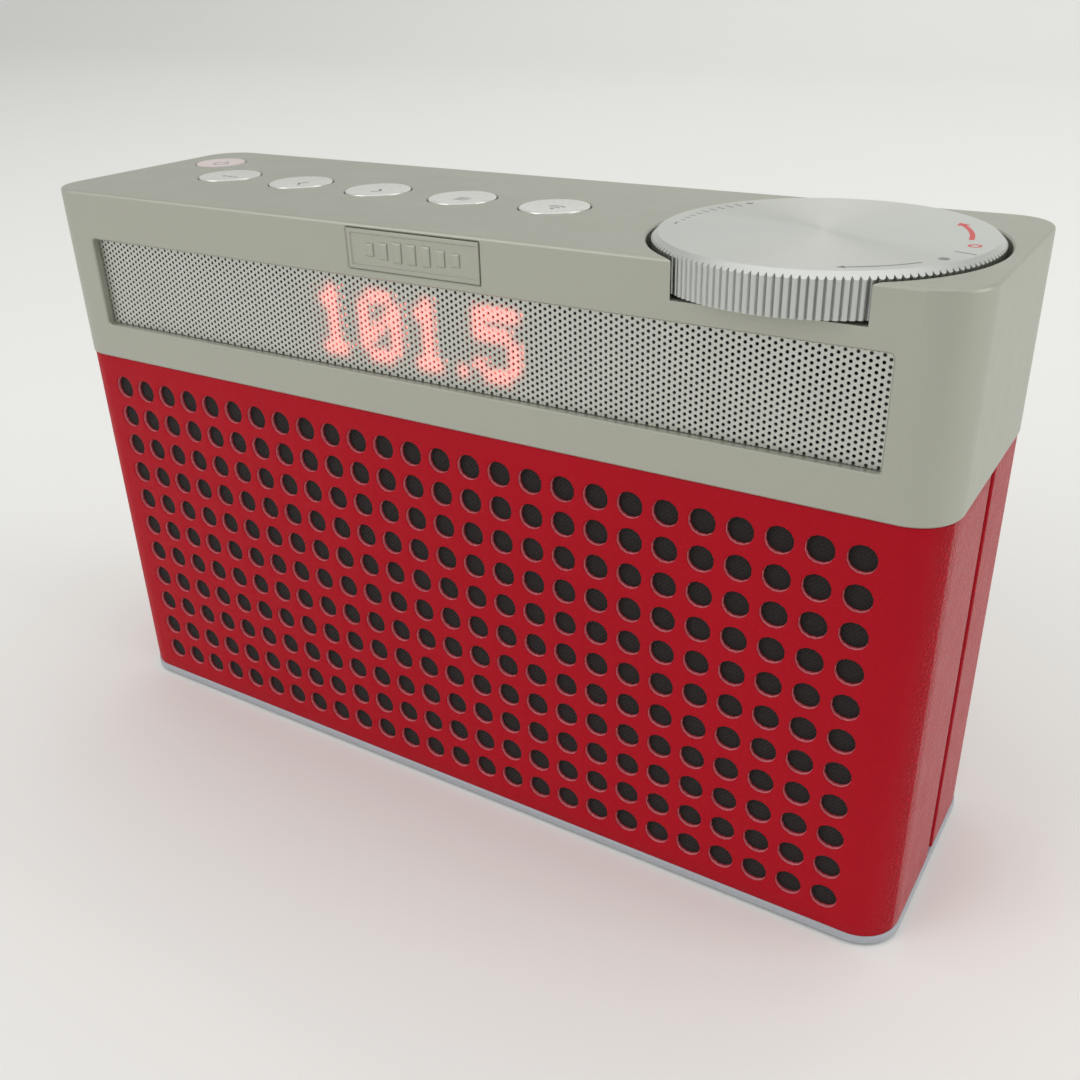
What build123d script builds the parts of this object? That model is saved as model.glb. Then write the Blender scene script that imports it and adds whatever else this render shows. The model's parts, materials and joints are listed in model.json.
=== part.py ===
from build123d import *

import os
from math import cos, radians, sin

# Compact leather-wrapped portable radio, modelled piece by piece.
# Frame: origin at the centre of the footprint on the resting plane, +X to the listener's right, +Y to the
# back, +Z up. All sizes are in millimetres. Each named node is written as one STEP file in parts/.

# ---- overall case --------------------------------------------------------------------------------
case_w = 183.0  # left to right
case_d = 51.1  # front to back
case_top = 114.0  # resting plane to the top face
corner_r = 7.5  # upright corners
top_edge_r = 0.6
edge_bevel = 0.25  # rims of the shell's openings and its lower edge

# ---- stack of shell, leather and base ------------------------------------------------------------
shell_h = 33.8
split_z = case_top - shell_h  # painted shell above, leather below
base_bottom = 0.4
leather_bottom = 2.1
shell_wall = 2.2
shell_top_t = 2.2
leather_inset = 0.25  # leather lies this far inside the shell's outline
leather_t = 1.0
housing_wall = 2.2
lip_h = 2.5  # housing lip that enters the shell
lip_gap = 0.1
ear_t = 4.0  # corner ears that the shell is screwed to
groove_y = 1.75  # upright side groove between front and rear halves
groove_w = 2.8
groove_depth = 0.8
seam_gap = 0.1
base_lip_t, base_lip_h = 1.2, 2.0  # locating rib on the base, inside the housings
base_chamfer, base_bevel = 0.4, 0.3  # lower and upper outer edges of the base

# ---- speaker grille ------------------------------------------------------------------------------
grille_cols, grille_rows = 26, 11
grille_dx, grille_dz = 6.36, 6.54
grille_x, grille_z = 0.24, 40.9
leather_hole_r = 2.35
housing_hole_r = 2.5
cloth_t = 0.3
cloth_margin = 2.0
cloth_r, cloth_gap = 1.0, 0.1

# ---- display window ------------------------------------------------------------------------------
window_w, window_h = 160.9, 17.5
window_x, window_z = 0.45, case_top - 17.95
window_r = 0.8
mesh_recess = 1.6
mesh_t = 0.3
mesh_gap = 0.15
frame_rim_x, frame_rim_z = 2.5, 1.5
frame_t = 2.0
frame_land = 1.3  # how far the frame reaches in behind the mesh's edge
filter_t = 0.8
led_w, led_h, led_t = 66.0, 12.4, 2.6
led_x = -9.0
board_t = 1.2

# ---- badge ---------------------------------------------------------------------------------------
badge_w, badge_h = 27.3, 7.0
badge_x, badge_z = 0.95, case_top - 4.3
badge_pocket = 0.8
badge_t = 0.5
badge_r = 0.3
badge_gap = 0.1
rib_count = 7
rib_t, rib_w = 0.3, 0.9

# ---- keys ----------------------------------------------------------------------------------------
key_r = 6.25
key_row_y = -0.05
key_first_x = -case_w / 2 + 26.0
key_pitch = 19.65
key_names = ["preset_key", "previous_key", "next_key", "menu_key", "wireless_key"]
standby_key_r = 5.25
standby_x, standby_y = -case_w / 2 + 11.5, 11.45
key_gap = 0.25
key_proud = 0.2
key_dish = 0.35
key_travel = 0.6
key_flange = 0.8
key_flange_t = 0.8
key_flange_gap = 0.4  # below the shell's ceiling
key_edge_r = 0.35
stem_r = 1.6
switch_size = 6.0
switch_h = 3.5
switch_play = 0.1
stem_entry = 0.5  # how far a key's stem stands in its switch at rest
key_board_top = case_top - 9.4

# ---- volume dial ---------------------------------------------------------------------------------
dial_x, dial_y = case_w / 2 - 29.0, -case_d / 2 + 22.5
dial_r = 26.0
dial_bottom, dial_top = case_top - 5.4, case_top + 1.1
dial_wall = 1.6
dial_chamfer = 1.0
well_gap = 0.8  # round the dial
well_r = dial_r + well_gap
well_floor = case_top - 6.0
well_floor_t = 1.5
well_wall = 1.8
shaft_r = 3.0
shaft_play = 0.05
bushing_r = 3.5
bushing_h = 2.0  # above the well's floor
bushing_nut_t, bushing_washer_t = 1.5, 0.4
hub_gap = 0.3  # between the bushing's end and the dial's hub
hub_plate_t = 1.8
shaft_cap = 0.4  # hub left over the shaft's end
shaft_flat = 1.6  # shaft's flat, from its axis
pot_w, pot_d, pot_h = 17.0, 18.0, 7.0
switch_block_h = 4.0

# ---- loudspeaker ---------------------------------------------------------------------------------
driver_x, driver_z = -40.0, 41.0
driver_r = 33.0
gasket_t = 1.0
flange_t = 1.2
coil_r = 10.0
coil_wall = 0.5
magnet_gap = 0.35
magnet_r = 20.0
magnet_t = 8.0
plate_t = 3.0
cone_r = 24.0
cone_wall = 0.5
speaker_screw_l = 1.4  # in the front panel
speaker_screw_head_r = 1.6

# ---- battery -------------------------------------------------------------------------------------
cell_r, cell_l = 9.2, 65.0
cell_x, cell_y = case_w / 2 - 46.5, 8.0
tray_floor = 1.9  # under the cell, above the base
tray_wall = 2.0
cell_z = leather_bottom + tray_floor + cell_r

# ---- main board and rear sockets -----------------------------------------------------------------
main_board_z = 5.4
main_board_x0 = -case_w / 2 + 10.5
main_board_x1 = main_board_x0 + 89.0
main_board_y0, main_board_y1 = -9.0, case_d / 2 - 4.15
main_board_t = 1.4
board_post_r = 3.0
board_screw_offsets = ((4.0, -5.0), (4.0, 14.0), (85.0, -5.0), (85.0, 17.0))  # from the board's left edge
board_screw_places = [(main_board_x0 + dx, y) for dx, y in board_screw_offsets]
# near corner from the board's left end, and size, of each chip
chip_places = [(20, -8, 12, 12, 1.4), (39, 0, 8, 8, 1.2), (50.5, -6.5, 9, 7, 3.0), (6, 1.5, 6, 5, 1.6)]
radio_side, radio_h = 18.0, 2.6
socket_z = 9.9
usb_x, aux_x, phones_x = main_board_x0 + 17.0, main_board_x0 + 33.0, main_board_x0 + 48.0
jack_hole_r = 1.8
jack_depth = 13.0
port_plate_w, port_plate_h = 46.0, 10.0
port_plate_seat = 1.2  # pocket depth behind the leather's back
port_plate_rim = 1.0  # rim that rests in the pocket, round the neck that fills the wall
port_plate_gap = 0.1
port_plate_sink = 0.4  # below the leather's face
port_plate_r = 1.0
plug_clearance = 1.2  # room for a plug's sleeve round each jack
usb_shell_w, usb_shell_h, usb_shell_d = 9.0, 3.3, 7.4
usb_mouth_w, usb_mouth_h, usb_mouth_d = 8.4, 2.6, 6.5
usb_tongue_w, usb_tongue_t = 6.6, 0.7
usb_opening_w, usb_opening_h, usb_opening_r = 10.0, 4.4, 1.5
jack_body_w, jack_body_rise = 8.0, 3.1
socket_set_back = 0.2  # socket faces behind the housing's inner wall

# ---- antenna -------------------------------------------------------------------------------------
antenna_x, antenna_z = case_w / 2 - 13.5, case_top - 16.0
antenna_disc_r = 4.6
antenna_disc_t = 1.0
antenna_gap = 0.1
spindle_r = 2.0
elbow_out = 2.85  # elbow pin's axis behind the rear face
tube_r = 2.5
tube_wall = 0.35
tube_l = 135.0
section_radii = [2.05, 1.6, 1.15]
section_play = 0.1
section_wall = 0.35
section_step = 1.5  # how much further each thinner section stands out

antenna_ear_z = (1.5, 2.7)  # inner and outer faces of the fork's ears, from its centre
antenna_ear_r = 1.7
antenna_neck_h = 2.8
neck_half = 1.5
elbow_pin_r = 0.7
elbow_pin_head_r, elbow_pin_head_t = 1.2, 0.4
antenna_tip_l = 4.0

# ---- feet and screws -----------------------------------------------------------------------------
foot_r, foot_t = 5.0, 1.2
foot_inset_x, foot_inset_y = 14.0, 10.0
foot_chamfer = 0.3
screw_r = 1.1
screw_head_r = 2.1
screw_head_h = 1.1
screw_clearance = 0.1
recess_l, recess_w, recess_depth = 2.6, 0.55, 0.6

# ---- derived -------------------------------------------------------------------------------------
screw_seat = base_bottom + screw_head_h
front_y, rear_y = -case_d / 2, case_d / 2
shell_in_x, shell_in_y = case_w / 2 - shell_wall, case_d / 2 - shell_wall
shell_in_r = corner_r - shell_wall
shell_ceiling = case_top - shell_top_t
leather_x, leather_y = case_w / 2 - leather_inset, case_d / 2 - leather_inset
leather_r = corner_r - leather_inset
housing_x, housing_y = leather_x - leather_t, leather_y - leather_t
housing_r = leather_r - leather_t
housing_in_x, housing_in_y = housing_x - housing_wall, housing_y - housing_wall
housing_in_r = housing_r - housing_wall
panel_in_y = -housing_in_y
mesh_front_y = front_y + mesh_recess
led_back_y = -shell_in_y + frame_t + led_t
key_board_bottom = key_board_top - board_t
corner_post_r = 3.0
cloth_w = (grille_cols - 1) * grille_dx + 2 * (leather_hole_r + cloth_margin)
cloth_h = (grille_rows - 1) * grille_dz + 2 * (leather_hole_r + cloth_margin)
shell_post = (shell_in_x - corner_post_r + 0.1, shell_in_y - corner_post_r + 0.1)
base_post = (housing_in_x - corner_post_r + 0.1, housing_in_y - corner_post_r + 0.1)
elbow_y = rear_y + elbow_out
board_screw_end = leather_bottom + 0.5
board_top = main_board_z + main_board_t

nodes = {}


def slab(half_x, half_y, z0, z1, radius):
    """Upright block with rounded corners, centred on the Z axis."""
    return extrude(Pos(0, 0, z0) * RectangleRounded(2 * half_x, 2 * half_y, radius), z1 - z0)


def block(x0, x1, y0, y1, z0, z1):
    return Pos((x0 + x1) / 2, (y0 + y1) / 2, (z0 + z1) / 2) * Box(x1 - x0, y1 - y0, z1 - z0)


def rod_z(x, y, z0, z1, r):
    return Pos(x, y, (z0 + z1) / 2) * Cylinder(r, z1 - z0)


def rod_y(x, z, y0, y1, r):
    return Pos(x, (y0 + y1) / 2, z) * Rot(90, 0, 0) * Cylinder(r, y1 - y0)


def rod_x(y, z, x0, x1, r):
    return Pos((x0 + x1) / 2, y, z) * Rot(0, 90, 0) * Cylinder(r, x1 - x0)


def front_plate(width, height, x, z, y0, y1, radius=0.0):
    """Upright plate facing the front, from y0 back to y1."""
    plane = Plane(origin=(x, y0, z), x_dir=(1, 0, 0), z_dir=(0, 1, 0))
    outline = RectangleRounded(width, height, radius) if radius else Rectangle(width, height)
    return extrude(plane * outline, y1 - y0)


def corners(post):
    return [(sx * post[0], sy * post[1]) for sx in (-1, 1) for sy in (-1, 1)]


def cross_recess(x, y, z0, z1):
    long, wide = recess_l / 2, recess_w / 2
    return block(x - long, x + long, y - wide, y + wide, z0, z1) + block(
        x - wide, x + wide, y - long, y + long, z0, z1
    )


def screw_up(x, y, z, length):
    """Pan-head screw whose head's seat is at z and whose shank runs up."""
    low = z - screw_head_h
    screw = rod_z(x, y, z, z + length, screw_r) + rod_z(x, y, low, z, screw_head_r)
    return screw - cross_recess(x, y, low, low + recess_depth)


def screw_down(x, y, z, length):
    """Pan-head screw whose head's seat is at z and whose shank runs down."""
    high = z + screw_head_h
    screw = rod_z(x, y, z - length, z, screw_r) + rod_z(x, y, z, high, screw_head_r)
    return screw - cross_recess(x, y, high - recess_depth, high)


def top_hole(x, y, z0, r):
    """Upright hole from z0 out through the top face, with a bevelled rim."""
    rim = Pos(x, y, case_top - edge_bevel / 2) * Cone(r, r + edge_bevel, edge_bevel)
    return rod_z(x, y, z0, case_top + 1, r) + rim


def front_hole(width, height, x, z, y1, radius):
    """Hole from the front face back to y1, with a bevelled rim."""
    plane = Plane(origin=(x, front_y, z), x_dir=(1, 0, 0), z_dir=(0, 1, 0))
    mouth = RectangleRounded(width + 2 * edge_bevel, height + 2 * edge_bevel, radius + edge_bevel)
    rim = extrude(plane * mouth, edge_bevel, taper=45)
    return front_plate(width, height, x, z, front_y - 1, y1, radius) + rim


def grille_cutters(radius, y1):
    """One short cylinder for each hole of the straight grille grid."""
    plane = Plane(origin=(grille_x, front_y - 1, grille_z), x_dir=(1, 0, 0), z_dir=(0, 1, 0))
    spots = GridLocations(grille_dx, grille_dz, grille_cols, grille_rows)
    return [extrude(plane * spot * Circle(radius), y1 - front_y + 1) for spot in spots]


def group(solids):
    return Compound(children=list(solids))


# ---- painted top shell ---------------------------------------------------------------------------
def top_shell():
    body = slab(case_w / 2, case_d / 2, split_z, case_top, corner_r)
    body = fillet(body.faces().sort_by(Axis.Z)[-1].edges(), top_edge_r)
    body = chamfer(body.faces().sort_by(Axis.Z)[0].edges(), edge_bevel)
    inner = slab(shell_in_x, shell_in_y, split_z - 1, shell_ceiling, shell_in_r)
    shell = body - inner
    cup = rod_z(dial_x, dial_y, well_floor - well_floor_t, case_top - 0.5, well_r + well_wall)
    shell += cup & slab(shell_in_x, shell_in_y, split_z, case_top - 0.5, shell_in_r)
    for x, y in corners(shell_post):
        shell += rod_z(x, y, split_z + lip_h + 0.2, key_board_bottom - 3, corner_post_r)
    for x, y in key_board_posts:
        shell += rod_z(x, y, key_board_top, shell_ceiling, corner_post_r - 0.6)
    shell -= top_hole(dial_x, dial_y, well_floor, well_r)
    shell -= rod_z(dial_x, dial_y, well_floor - well_floor_t - 1, well_floor + 1, bushing_r + shaft_play)
    shell -= front_hole(window_w, window_h, window_x, window_z, -shell_in_y + 1, window_r)
    shell -= front_hole(badge_w, badge_h, badge_x, badge_z, front_y + badge_pocket, badge_r)
    for x, y, r in key_places:
        shell -= top_hole(x, y, shell_ceiling - 1, r + key_gap)
    for x, y in corners(shell_post):
        shell -= rod_z(x, y, split_z, split_z + lip_h + 12, screw_r)
    for x, y in key_board_posts:
        shell -= rod_z(x, y, key_board_top - 1, key_board_top + 4, screw_r)
    shell -= rod_y(antenna_x, antenna_z, shell_in_y - 1, rear_y + 1, spindle_r + shaft_play)
    return shell


# ---- two leather-wrapped housings ----------------------------------------------------------------
def front_half(solid):
    return solid & block(-case_w, case_w, -case_d, groove_y - seam_gap / 2, -10, case_top)


def rear_half(solid):
    return solid & block(-case_w, case_w, groove_y + seam_gap / 2, case_d, -10, case_top)


def housing_tube():
    tube = slab(housing_x, housing_y, leather_bottom, split_z, housing_r)
    lip_x, lip_y = shell_in_x - lip_gap, shell_in_y - lip_gap
    tube += slab(lip_x, lip_y, split_z, split_z + lip_h, shell_in_r - lip_gap)
    tube -= slab(housing_in_x, housing_in_y, leather_bottom - 1, split_z + lip_h + 1, housing_in_r)
    outer = slab(housing_x, housing_y, leather_bottom, split_z, housing_r)
    for x, y in corners(base_post):
        tube += rod_z(x, y, leather_bottom, leather_bottom + 14, corner_post_r) & outer
    for x, y in corners(shell_post):
        tube += rod_z(x, y, split_z - ear_t, split_z, corner_post_r + 0.6) & outer
    for x, y in corners(base_post):
        tube -= rod_z(x, y, leather_bottom - 1, leather_bottom + 10, screw_r)
    for x, y in corners(shell_post):
        tube -= rod_z(x, y, split_z - ear_t - 1, split_z + 1, screw_r)
        tube -= rod_z(x, y, split_z - ear_t - screw_head_h, split_z - ear_t, screw_head_r + screw_clearance)
        tube -= rod_z(x, y, split_z, split_z + lip_h + 1, screw_head_r)
    return tube


def front_housing():
    tube = front_half(housing_tube())
    tube -= front_plate(cloth_w, cloth_h, grille_x, grille_z, -housing_y - 1, -housing_y + cloth_t, cloth_r)
    tube -= grille_cutters(housing_hole_r, panel_in_y + 0.5)
    for x, z in speaker_screw_places:
        tube += rod_y(x, z, panel_in_y - speaker_screw_l, panel_in_y, screw_r + 0.8)
        tube -= rod_y(x, z, panel_in_y - speaker_screw_l, panel_in_y + 1, screw_r)
    return tube


def rear_housing():
    tube = rear_half(housing_tube())
    seat = housing_y - port_plate_seat
    tube -= front_plate(port_plate_w, port_plate_h, aux_x, socket_z, seat, housing_y + 1, port_plate_r)
    return tube - port_neck(0, housing_in_y - 1, housing_y + 1)


def port_neck(gap, y0, y1):
    """The part of the socket plate that passes through the housing's wall, or its opening."""
    width, height = port_plate_w - 2 * port_plate_rim, port_plate_h - 2 * port_plate_rim
    return front_plate(width - 2 * gap, height - 2 * gap, aux_x, socket_z, y0, y1, port_plate_r - gap)


def usb_opening(y0, y1):
    return front_plate(usb_opening_w, usb_opening_h, usb_x, socket_z, y0, y1, usb_opening_r)


def leather_tube():
    tube = slab(leather_x, leather_y, leather_bottom, split_z, leather_r)
    tube -= slab(housing_x, housing_y, leather_bottom - 1, split_z + 1, housing_r)
    depth = leather_x - groove_depth
    for side in (-1, 1):
        x0, x1 = sorted((side * depth, side * case_w))
        tube -= block(x0, x1, groove_y - groove_w / 2, groove_y + groove_w / 2, 0, split_z + 1)
    return tube


def front_leather():
    return front_half(leather_tube()) - grille_cutters(leather_hole_r, panel_in_y)


def rear_leather():
    cut = front_plate(port_plate_w, port_plate_h, aux_x, socket_z, housing_y - 1, leather_y + 1, port_plate_r)
    return rear_half(leather_tube()) - cut


def grille_cloth():
    width, height = cloth_w - 2 * cloth_gap, cloth_h - 2 * cloth_gap
    return front_plate(width, height, grille_x, grille_z, -housing_y, -housing_y + cloth_t, cloth_r)


# ---- base and feet -------------------------------------------------------------------------------
feet_at = (case_w / 2 - foot_inset_x, case_d / 2 - foot_inset_y)


def base_plate():
    plate = slab(case_w / 2, case_d / 2, base_bottom, leather_bottom, corner_r)
    plate = chamfer(plate.faces().sort_by(Axis.Z)[0].edges(), base_chamfer)
    plate = chamfer(plate.faces().sort_by(Axis.Z)[-1].edges(), base_bevel)
    lip_x, lip_y = housing_in_x - lip_gap, housing_in_y - lip_gap
    lip_r = housing_in_r - lip_gap
    lip_top = leather_bottom + base_lip_h
    lip = slab(lip_x, lip_y, leather_bottom, lip_top, lip_r)
    lip -= slab(lip_x - base_lip_t, lip_y - base_lip_t, leather_bottom, lip_top + 1, lip_r - base_lip_t)
    for x, y in corners(base_post):
        lip -= rod_z(x, y, leather_bottom, lip_top + 1, corner_post_r + 2 * screw_clearance)
    plate += lip
    for x, y in corners(base_post):
        plate -= rod_z(x, y, 0, leather_bottom + 1, screw_r + screw_clearance)
        plate -= rod_z(x, y, 0, screw_seat, screw_head_r + 2 * screw_clearance)
    for x, y in corners(feet_at):
        plate -= rod_z(x, y, 0, foot_t, foot_r)
    for x, y in board_screw_places:
        plate += rod_z(x, y, leather_bottom, main_board_z, board_post_r)
        plate -= rod_z(x, y, board_screw_end, main_board_z + 1, screw_r)
    return plate


def foot_pads():
    return group(foot_pad(x, y) for x, y in corners(feet_at))


def foot_pad(x, y):
    pad = rod_z(x, y, 0, foot_t, foot_r)
    return chamfer(pad.faces().sort_by(Axis.Z)[0].edges(), foot_chamfer)


def case_screws():
    base = [screw_up(x, y, screw_seat, 8) for x, y in corners(base_post)]
    shell = [screw_up(x, y, split_z - ear_t, 12) for x, y in corners(shell_post)]
    return group(base + shell)


# ---- display -------------------------------------------------------------------------------------
def display_mesh():
    return front_plate(
        window_w - 2 * mesh_gap,
        window_h - 2 * mesh_gap,
        window_x,
        window_z,
        mesh_front_y,
        mesh_front_y + mesh_t,
        window_r - mesh_gap,
    )


def mesh_frame():
    back = -shell_in_y + frame_t
    land = mesh_front_y + mesh_t
    frame = front_plate(
        window_w + 2 * frame_rim_x, window_h + 2 * frame_rim_z, window_x, window_z, -shell_in_y, back, 1.0
    )
    frame += front_plate(
        window_w - 2 * mesh_gap,
        window_h - 2 * mesh_gap,
        window_x,
        window_z,
        land,
        -shell_in_y,
        window_r - mesh_gap,
    )
    return frame - front_plate(
        window_w - 2 * frame_land, window_h - 2 * frame_land, window_x, window_z, land - 1, back + 1, 0.6
    )


def display_filter():
    width = window_w - 2 * frame_land - 0.2
    height = window_h - 2 * frame_land - 0.2
    back = -shell_in_y + frame_t
    return front_plate(width, height, window_x, window_z, back - filter_t, back, 0.5)


def led_matrix():
    front = -shell_in_y + frame_t
    return front_plate(led_w, led_h, led_x, window_z, front, led_back_y)


def display_board():
    half_w = window_w / 2 - 3
    return block(
        window_x - half_w,
        window_x + half_w,
        led_back_y,
        led_back_y + board_t,
        window_z - window_h / 2,
        window_z + window_h / 2,
    )


# ---- badge ---------------------------------------------------------------------------------------
def badge_plate():
    back = front_y + badge_pocket
    return front_plate(
        badge_w - 2 * badge_gap, badge_h - 2 * badge_gap, badge_x, badge_z, back - badge_t, back, badge_r
    )


def badge():
    """Framed plate with upright bars of rising and falling height, a plain tuning motif."""
    plate = badge_plate()
    back = front_y + badge_pocket - badge_t
    pitch = (badge_w - 8) / (rib_count - 1)
    for i in range(rib_count):
        x = badge_x + (i - (rib_count - 1) / 2) * pitch
        height = 1.4 + 2.8 * sin(radians(180 * (i + 0.5) / rib_count))
        plate += front_plate(rib_w, height, x, badge_z, back - rib_t, back, 0.3)
    return plate


# ---- keys, their switches and board --------------------------------------------------------------
key_places = [(key_first_x + i * key_pitch, key_row_y, key_r) for i in range(len(key_names))]
key_places.append((standby_x, standby_y, standby_key_r))
post_xs = [key_first_x - 7.0, key_first_x + key_pitch * 0.5, key_first_x + key_pitch * 2.5]
post_xs += [key_first_x + key_pitch * 4 + 8.4]
key_board_posts = [(post_xs[0], -13.5)] + [(x, 11.5) for x in post_xs[1:]]
switch_bottom = key_board_top
switch_top = switch_bottom + switch_h


def key(x, y, r):
    top = case_top + key_proud
    flange_top = shell_ceiling - key_flange_gap
    flange_low = flange_top - key_flange_t
    cap = rod_z(x, y, flange_top, top, r)
    cap = fillet(cap.faces().sort_by(Axis.Z)[-1].edges(), key_edge_r)
    bowl_r = (r * r + key_dish * key_dish) / (2 * key_dish)
    cap -= Pos(x, y, top - key_dish + bowl_r) * Sphere(bowl_r - 0.001)
    cap += rod_z(x, y, flange_low, flange_top, r + key_flange)
    cap += rod_z(x, y, switch_top - stem_entry, flange_low, stem_r)
    return cap


def tact_switches():
    half = switch_size / 2
    switches = []
    for x, y, _ in key_places:
        body = block(x - half, x + half, y - half, y + half, switch_bottom, switch_top)
        bore_low = switch_top - stem_entry - key_travel - 4 * switch_play
        body -= rod_z(x, y, bore_low, switch_top + 1, stem_r + switch_play)
        switches.append(body)
    return group(switches)


def key_board():
    x0 = standby_x - switch_size
    x1 = key_board_posts[-1][0] + corner_post_r
    y0 = key_board_posts[0][1] - corner_post_r + 0.6
    y1 = standby_y + switch_size
    board = block(x0, x1, y0, y1, key_board_bottom, key_board_top)
    for x, y in key_board_posts:
        board -= rod_z(x, y, key_board_bottom - 1, key_board_top + 1, screw_r + screw_clearance)
    return board


def key_board_screws():
    return [screw_up(x, y, key_board_bottom, 5) for x, y in key_board_posts]


# ---- volume dial and its control -----------------------------------------------------------------
def dial_knob():
    knob = rod_z(dial_x, dial_y, dial_bottom, dial_top, dial_r)
    knob = chamfer(knob.faces().sort_by(Axis.Z)[-1].edges(), dial_chamfer)
    return knob - rod_z(dial_x, dial_y, dial_bottom - 1, dial_top - dial_wall, dial_r - dial_wall)


bushing_top = well_floor + bushing_h
hub_bottom = bushing_top + hub_gap
hub_disc_bottom = dial_top - dial_wall - hub_plate_t
shaft_top = dial_top - dial_wall - shaft_cap
pot_top = well_floor - well_floor_t


def dial_hub():
    hub = rod_z(dial_x, dial_y, hub_disc_bottom, dial_top - dial_wall, dial_r - dial_wall)
    hub += rod_z(dial_x, dial_y, hub_bottom, hub_disc_bottom, shaft_r + 2.5)
    bore = rod_z(dial_x, dial_y, hub_bottom - 1, shaft_top, shaft_r)
    return hub - (bore - shaft_flat_block(hub_bottom, shaft_top))


def shaft_flat_block(z0, z1):
    """What is left out of the shaft behind its flat."""
    return block(dial_x - shaft_r, dial_x + shaft_r, dial_y + shaft_flat, dial_y + shaft_r, z0, z1)


def pot_shaft():
    shaft = rod_z(dial_x, dial_y, pot_top - pot_h + 1.2, shaft_top, shaft_r)
    return shaft - shaft_flat_block(hub_bottom, shaft_top + 1)


def pot_body():
    """Control's case and threaded bushing, with the on-off switch block clipped under it."""
    body = block(
        dial_x - pot_w / 2,
        dial_x + pot_w / 2,
        dial_y - pot_d / 2,
        dial_y + pot_d / 2,
        pot_top - pot_h,
        pot_top,
    )
    body += pot_switch()
    body += rod_z(dial_x, dial_y, pot_top, bushing_top, bushing_r)
    return body - rod_z(dial_x, dial_y, pot_top - pot_h + 1.0, bushing_top + 1, shaft_r + shaft_play)


def pot_switch():
    low = pot_top - pot_h - switch_block_h
    inset = 1.5
    return block(
        dial_x - pot_w / 2 + inset,
        dial_x + pot_w / 2 - inset,
        dial_y - pot_d / 2 + inset,
        dial_y + pot_d / 2 - inset,
        low,
        pot_top - pot_h,
    )


def pot_nut():
    seat = well_floor + bushing_washer_t
    washer = rod_z(dial_x, dial_y, well_floor, seat, bushing_r + 2.2)
    nut = Pos(dial_x, dial_y, seat) * extrude(RegularPolygon(bushing_r + 1.9, 6), bushing_nut_t)
    return (washer + nut) - rod_z(dial_x, dial_y, well_floor - 1, bushing_top + 1, bushing_r)


# ---- loudspeaker: built facing +Z with its seat at zero, then turned to face the front -----------
def as_driver(solid):
    return Pos(driver_x, panel_in_y, driver_z) * Rot(90, 0, 0) * solid


def ring(r_out, r_in, z0, z1):
    return rod_z(0, 0, z0, z1, r_out) - rod_z(0, 0, z0 - 1, z1 + 1, r_in)


def spun(points):
    """Closed profile in radius and height, turned about the axis."""
    return revolve(Plane.XZ * make_face(Polyline(*points, close=True)), Axis.Z)


flange_front = -gasket_t
flange_back = flange_front - flange_t
frame_depth = 15.0
screw_circle = driver_r - 1.6
speaker_screw_places = [
    (driver_x + screw_circle * cos(radians(a)), driver_z + screw_circle * sin(radians(a)))
    for a in (45, 135, 225, 315)
]
yoke_back = -frame_depth - plate_t - magnet_t - plate_t
pole_r = coil_r - coil_wall / 2 - magnet_gap
gap_outer_r = coil_r + coil_wall / 2 + magnet_gap
ledge_r = cone_r + 4.0
ledge_z = -3.4


def driver_gasket():
    gasket = ring(driver_r, ledge_r + 1.0, -gasket_t, 0)
    for a in (45, 135, 225, 315):
        x, y = screw_circle * cos(radians(a)), screw_circle * sin(radians(a))
        gasket -= rod_z(x, y, -gasket_t - 1, 1, screw_r)
    return as_driver(gasket)


def driver_basket():
    wall = 1.0
    profile = [
        (driver_r, flange_front),
        (driver_r, flange_back),
        (ledge_r + wall, flange_back),
        (ledge_r + wall, ledge_z - wall),
        (magnet_r + 1.5, -frame_depth),
        (gap_outer_r + 1.0, -frame_depth),
        (gap_outer_r + 1.0, -frame_depth + wall),
        (magnet_r + 0.9, -frame_depth + wall),
        (ledge_r - 2.2, ledge_z - wall),
        (ledge_r - 2.2, ledge_z),
        (ledge_r, ledge_z),
        (ledge_r, flange_front),
    ]
    basket = spun(profile)
    basket += ring(magnet_r + 0.9, magnet_r - 3.0, -frame_depth + wall, -11.6)
    for a in (0, 90, 180, 270):
        window = block(magnet_r, driver_r + 5, -9, 9, -frame_depth + wall + 1, ledge_z - wall - 1)
        basket -= Rot(0, 0, a) * window
    for a in (45, 135, 225, 315):
        x, y = screw_circle * cos(radians(a)), screw_circle * sin(radians(a))
        basket -= rod_z(x, y, flange_back - 1, 1, screw_r)
    return as_driver(basket)


def driver_top_plate():
    return as_driver(ring(magnet_r - 2, gap_outer_r, -frame_depth - plate_t, -frame_depth))


def driver_magnet():
    low = -frame_depth - plate_t - magnet_t
    return as_driver(ring(magnet_r, gap_outer_r + 2, low, -frame_depth - plate_t))


def driver_yoke():
    low = -frame_depth - plate_t - magnet_t
    return as_driver(rod_z(0, 0, yoke_back, low, magnet_r - 2) + rod_z(0, 0, low, -frame_depth, pole_r))


def voice_coil():
    return as_driver(ring(coil_r + coil_wall / 2, coil_r - coil_wall / 2, -frame_depth - plate_t - 2, -7.6))


def speaker_cone():
    neck = coil_r + coil_wall / 2
    return as_driver(
        spun(
            [(neck, -8.6), (neck, -8.0), (cone_r, ledge_z), (cone_r, ledge_z - cone_wall), (neck + 0.4, -8.8)]
        )
    )


def dust_cap():
    dome_r = 14.0
    base = -8.0
    drop = (dome_r**2 - (coil_r - coil_wall / 2) ** 2) ** 0.5
    dome = Pos(0, 0, base - drop) * Sphere(dome_r) - Pos(0, 0, base - drop) * Sphere(dome_r - 0.4)
    return as_driver(dome & rod_z(0, 0, base, 0, coil_r - coil_wall / 2 - 0.02))


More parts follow.
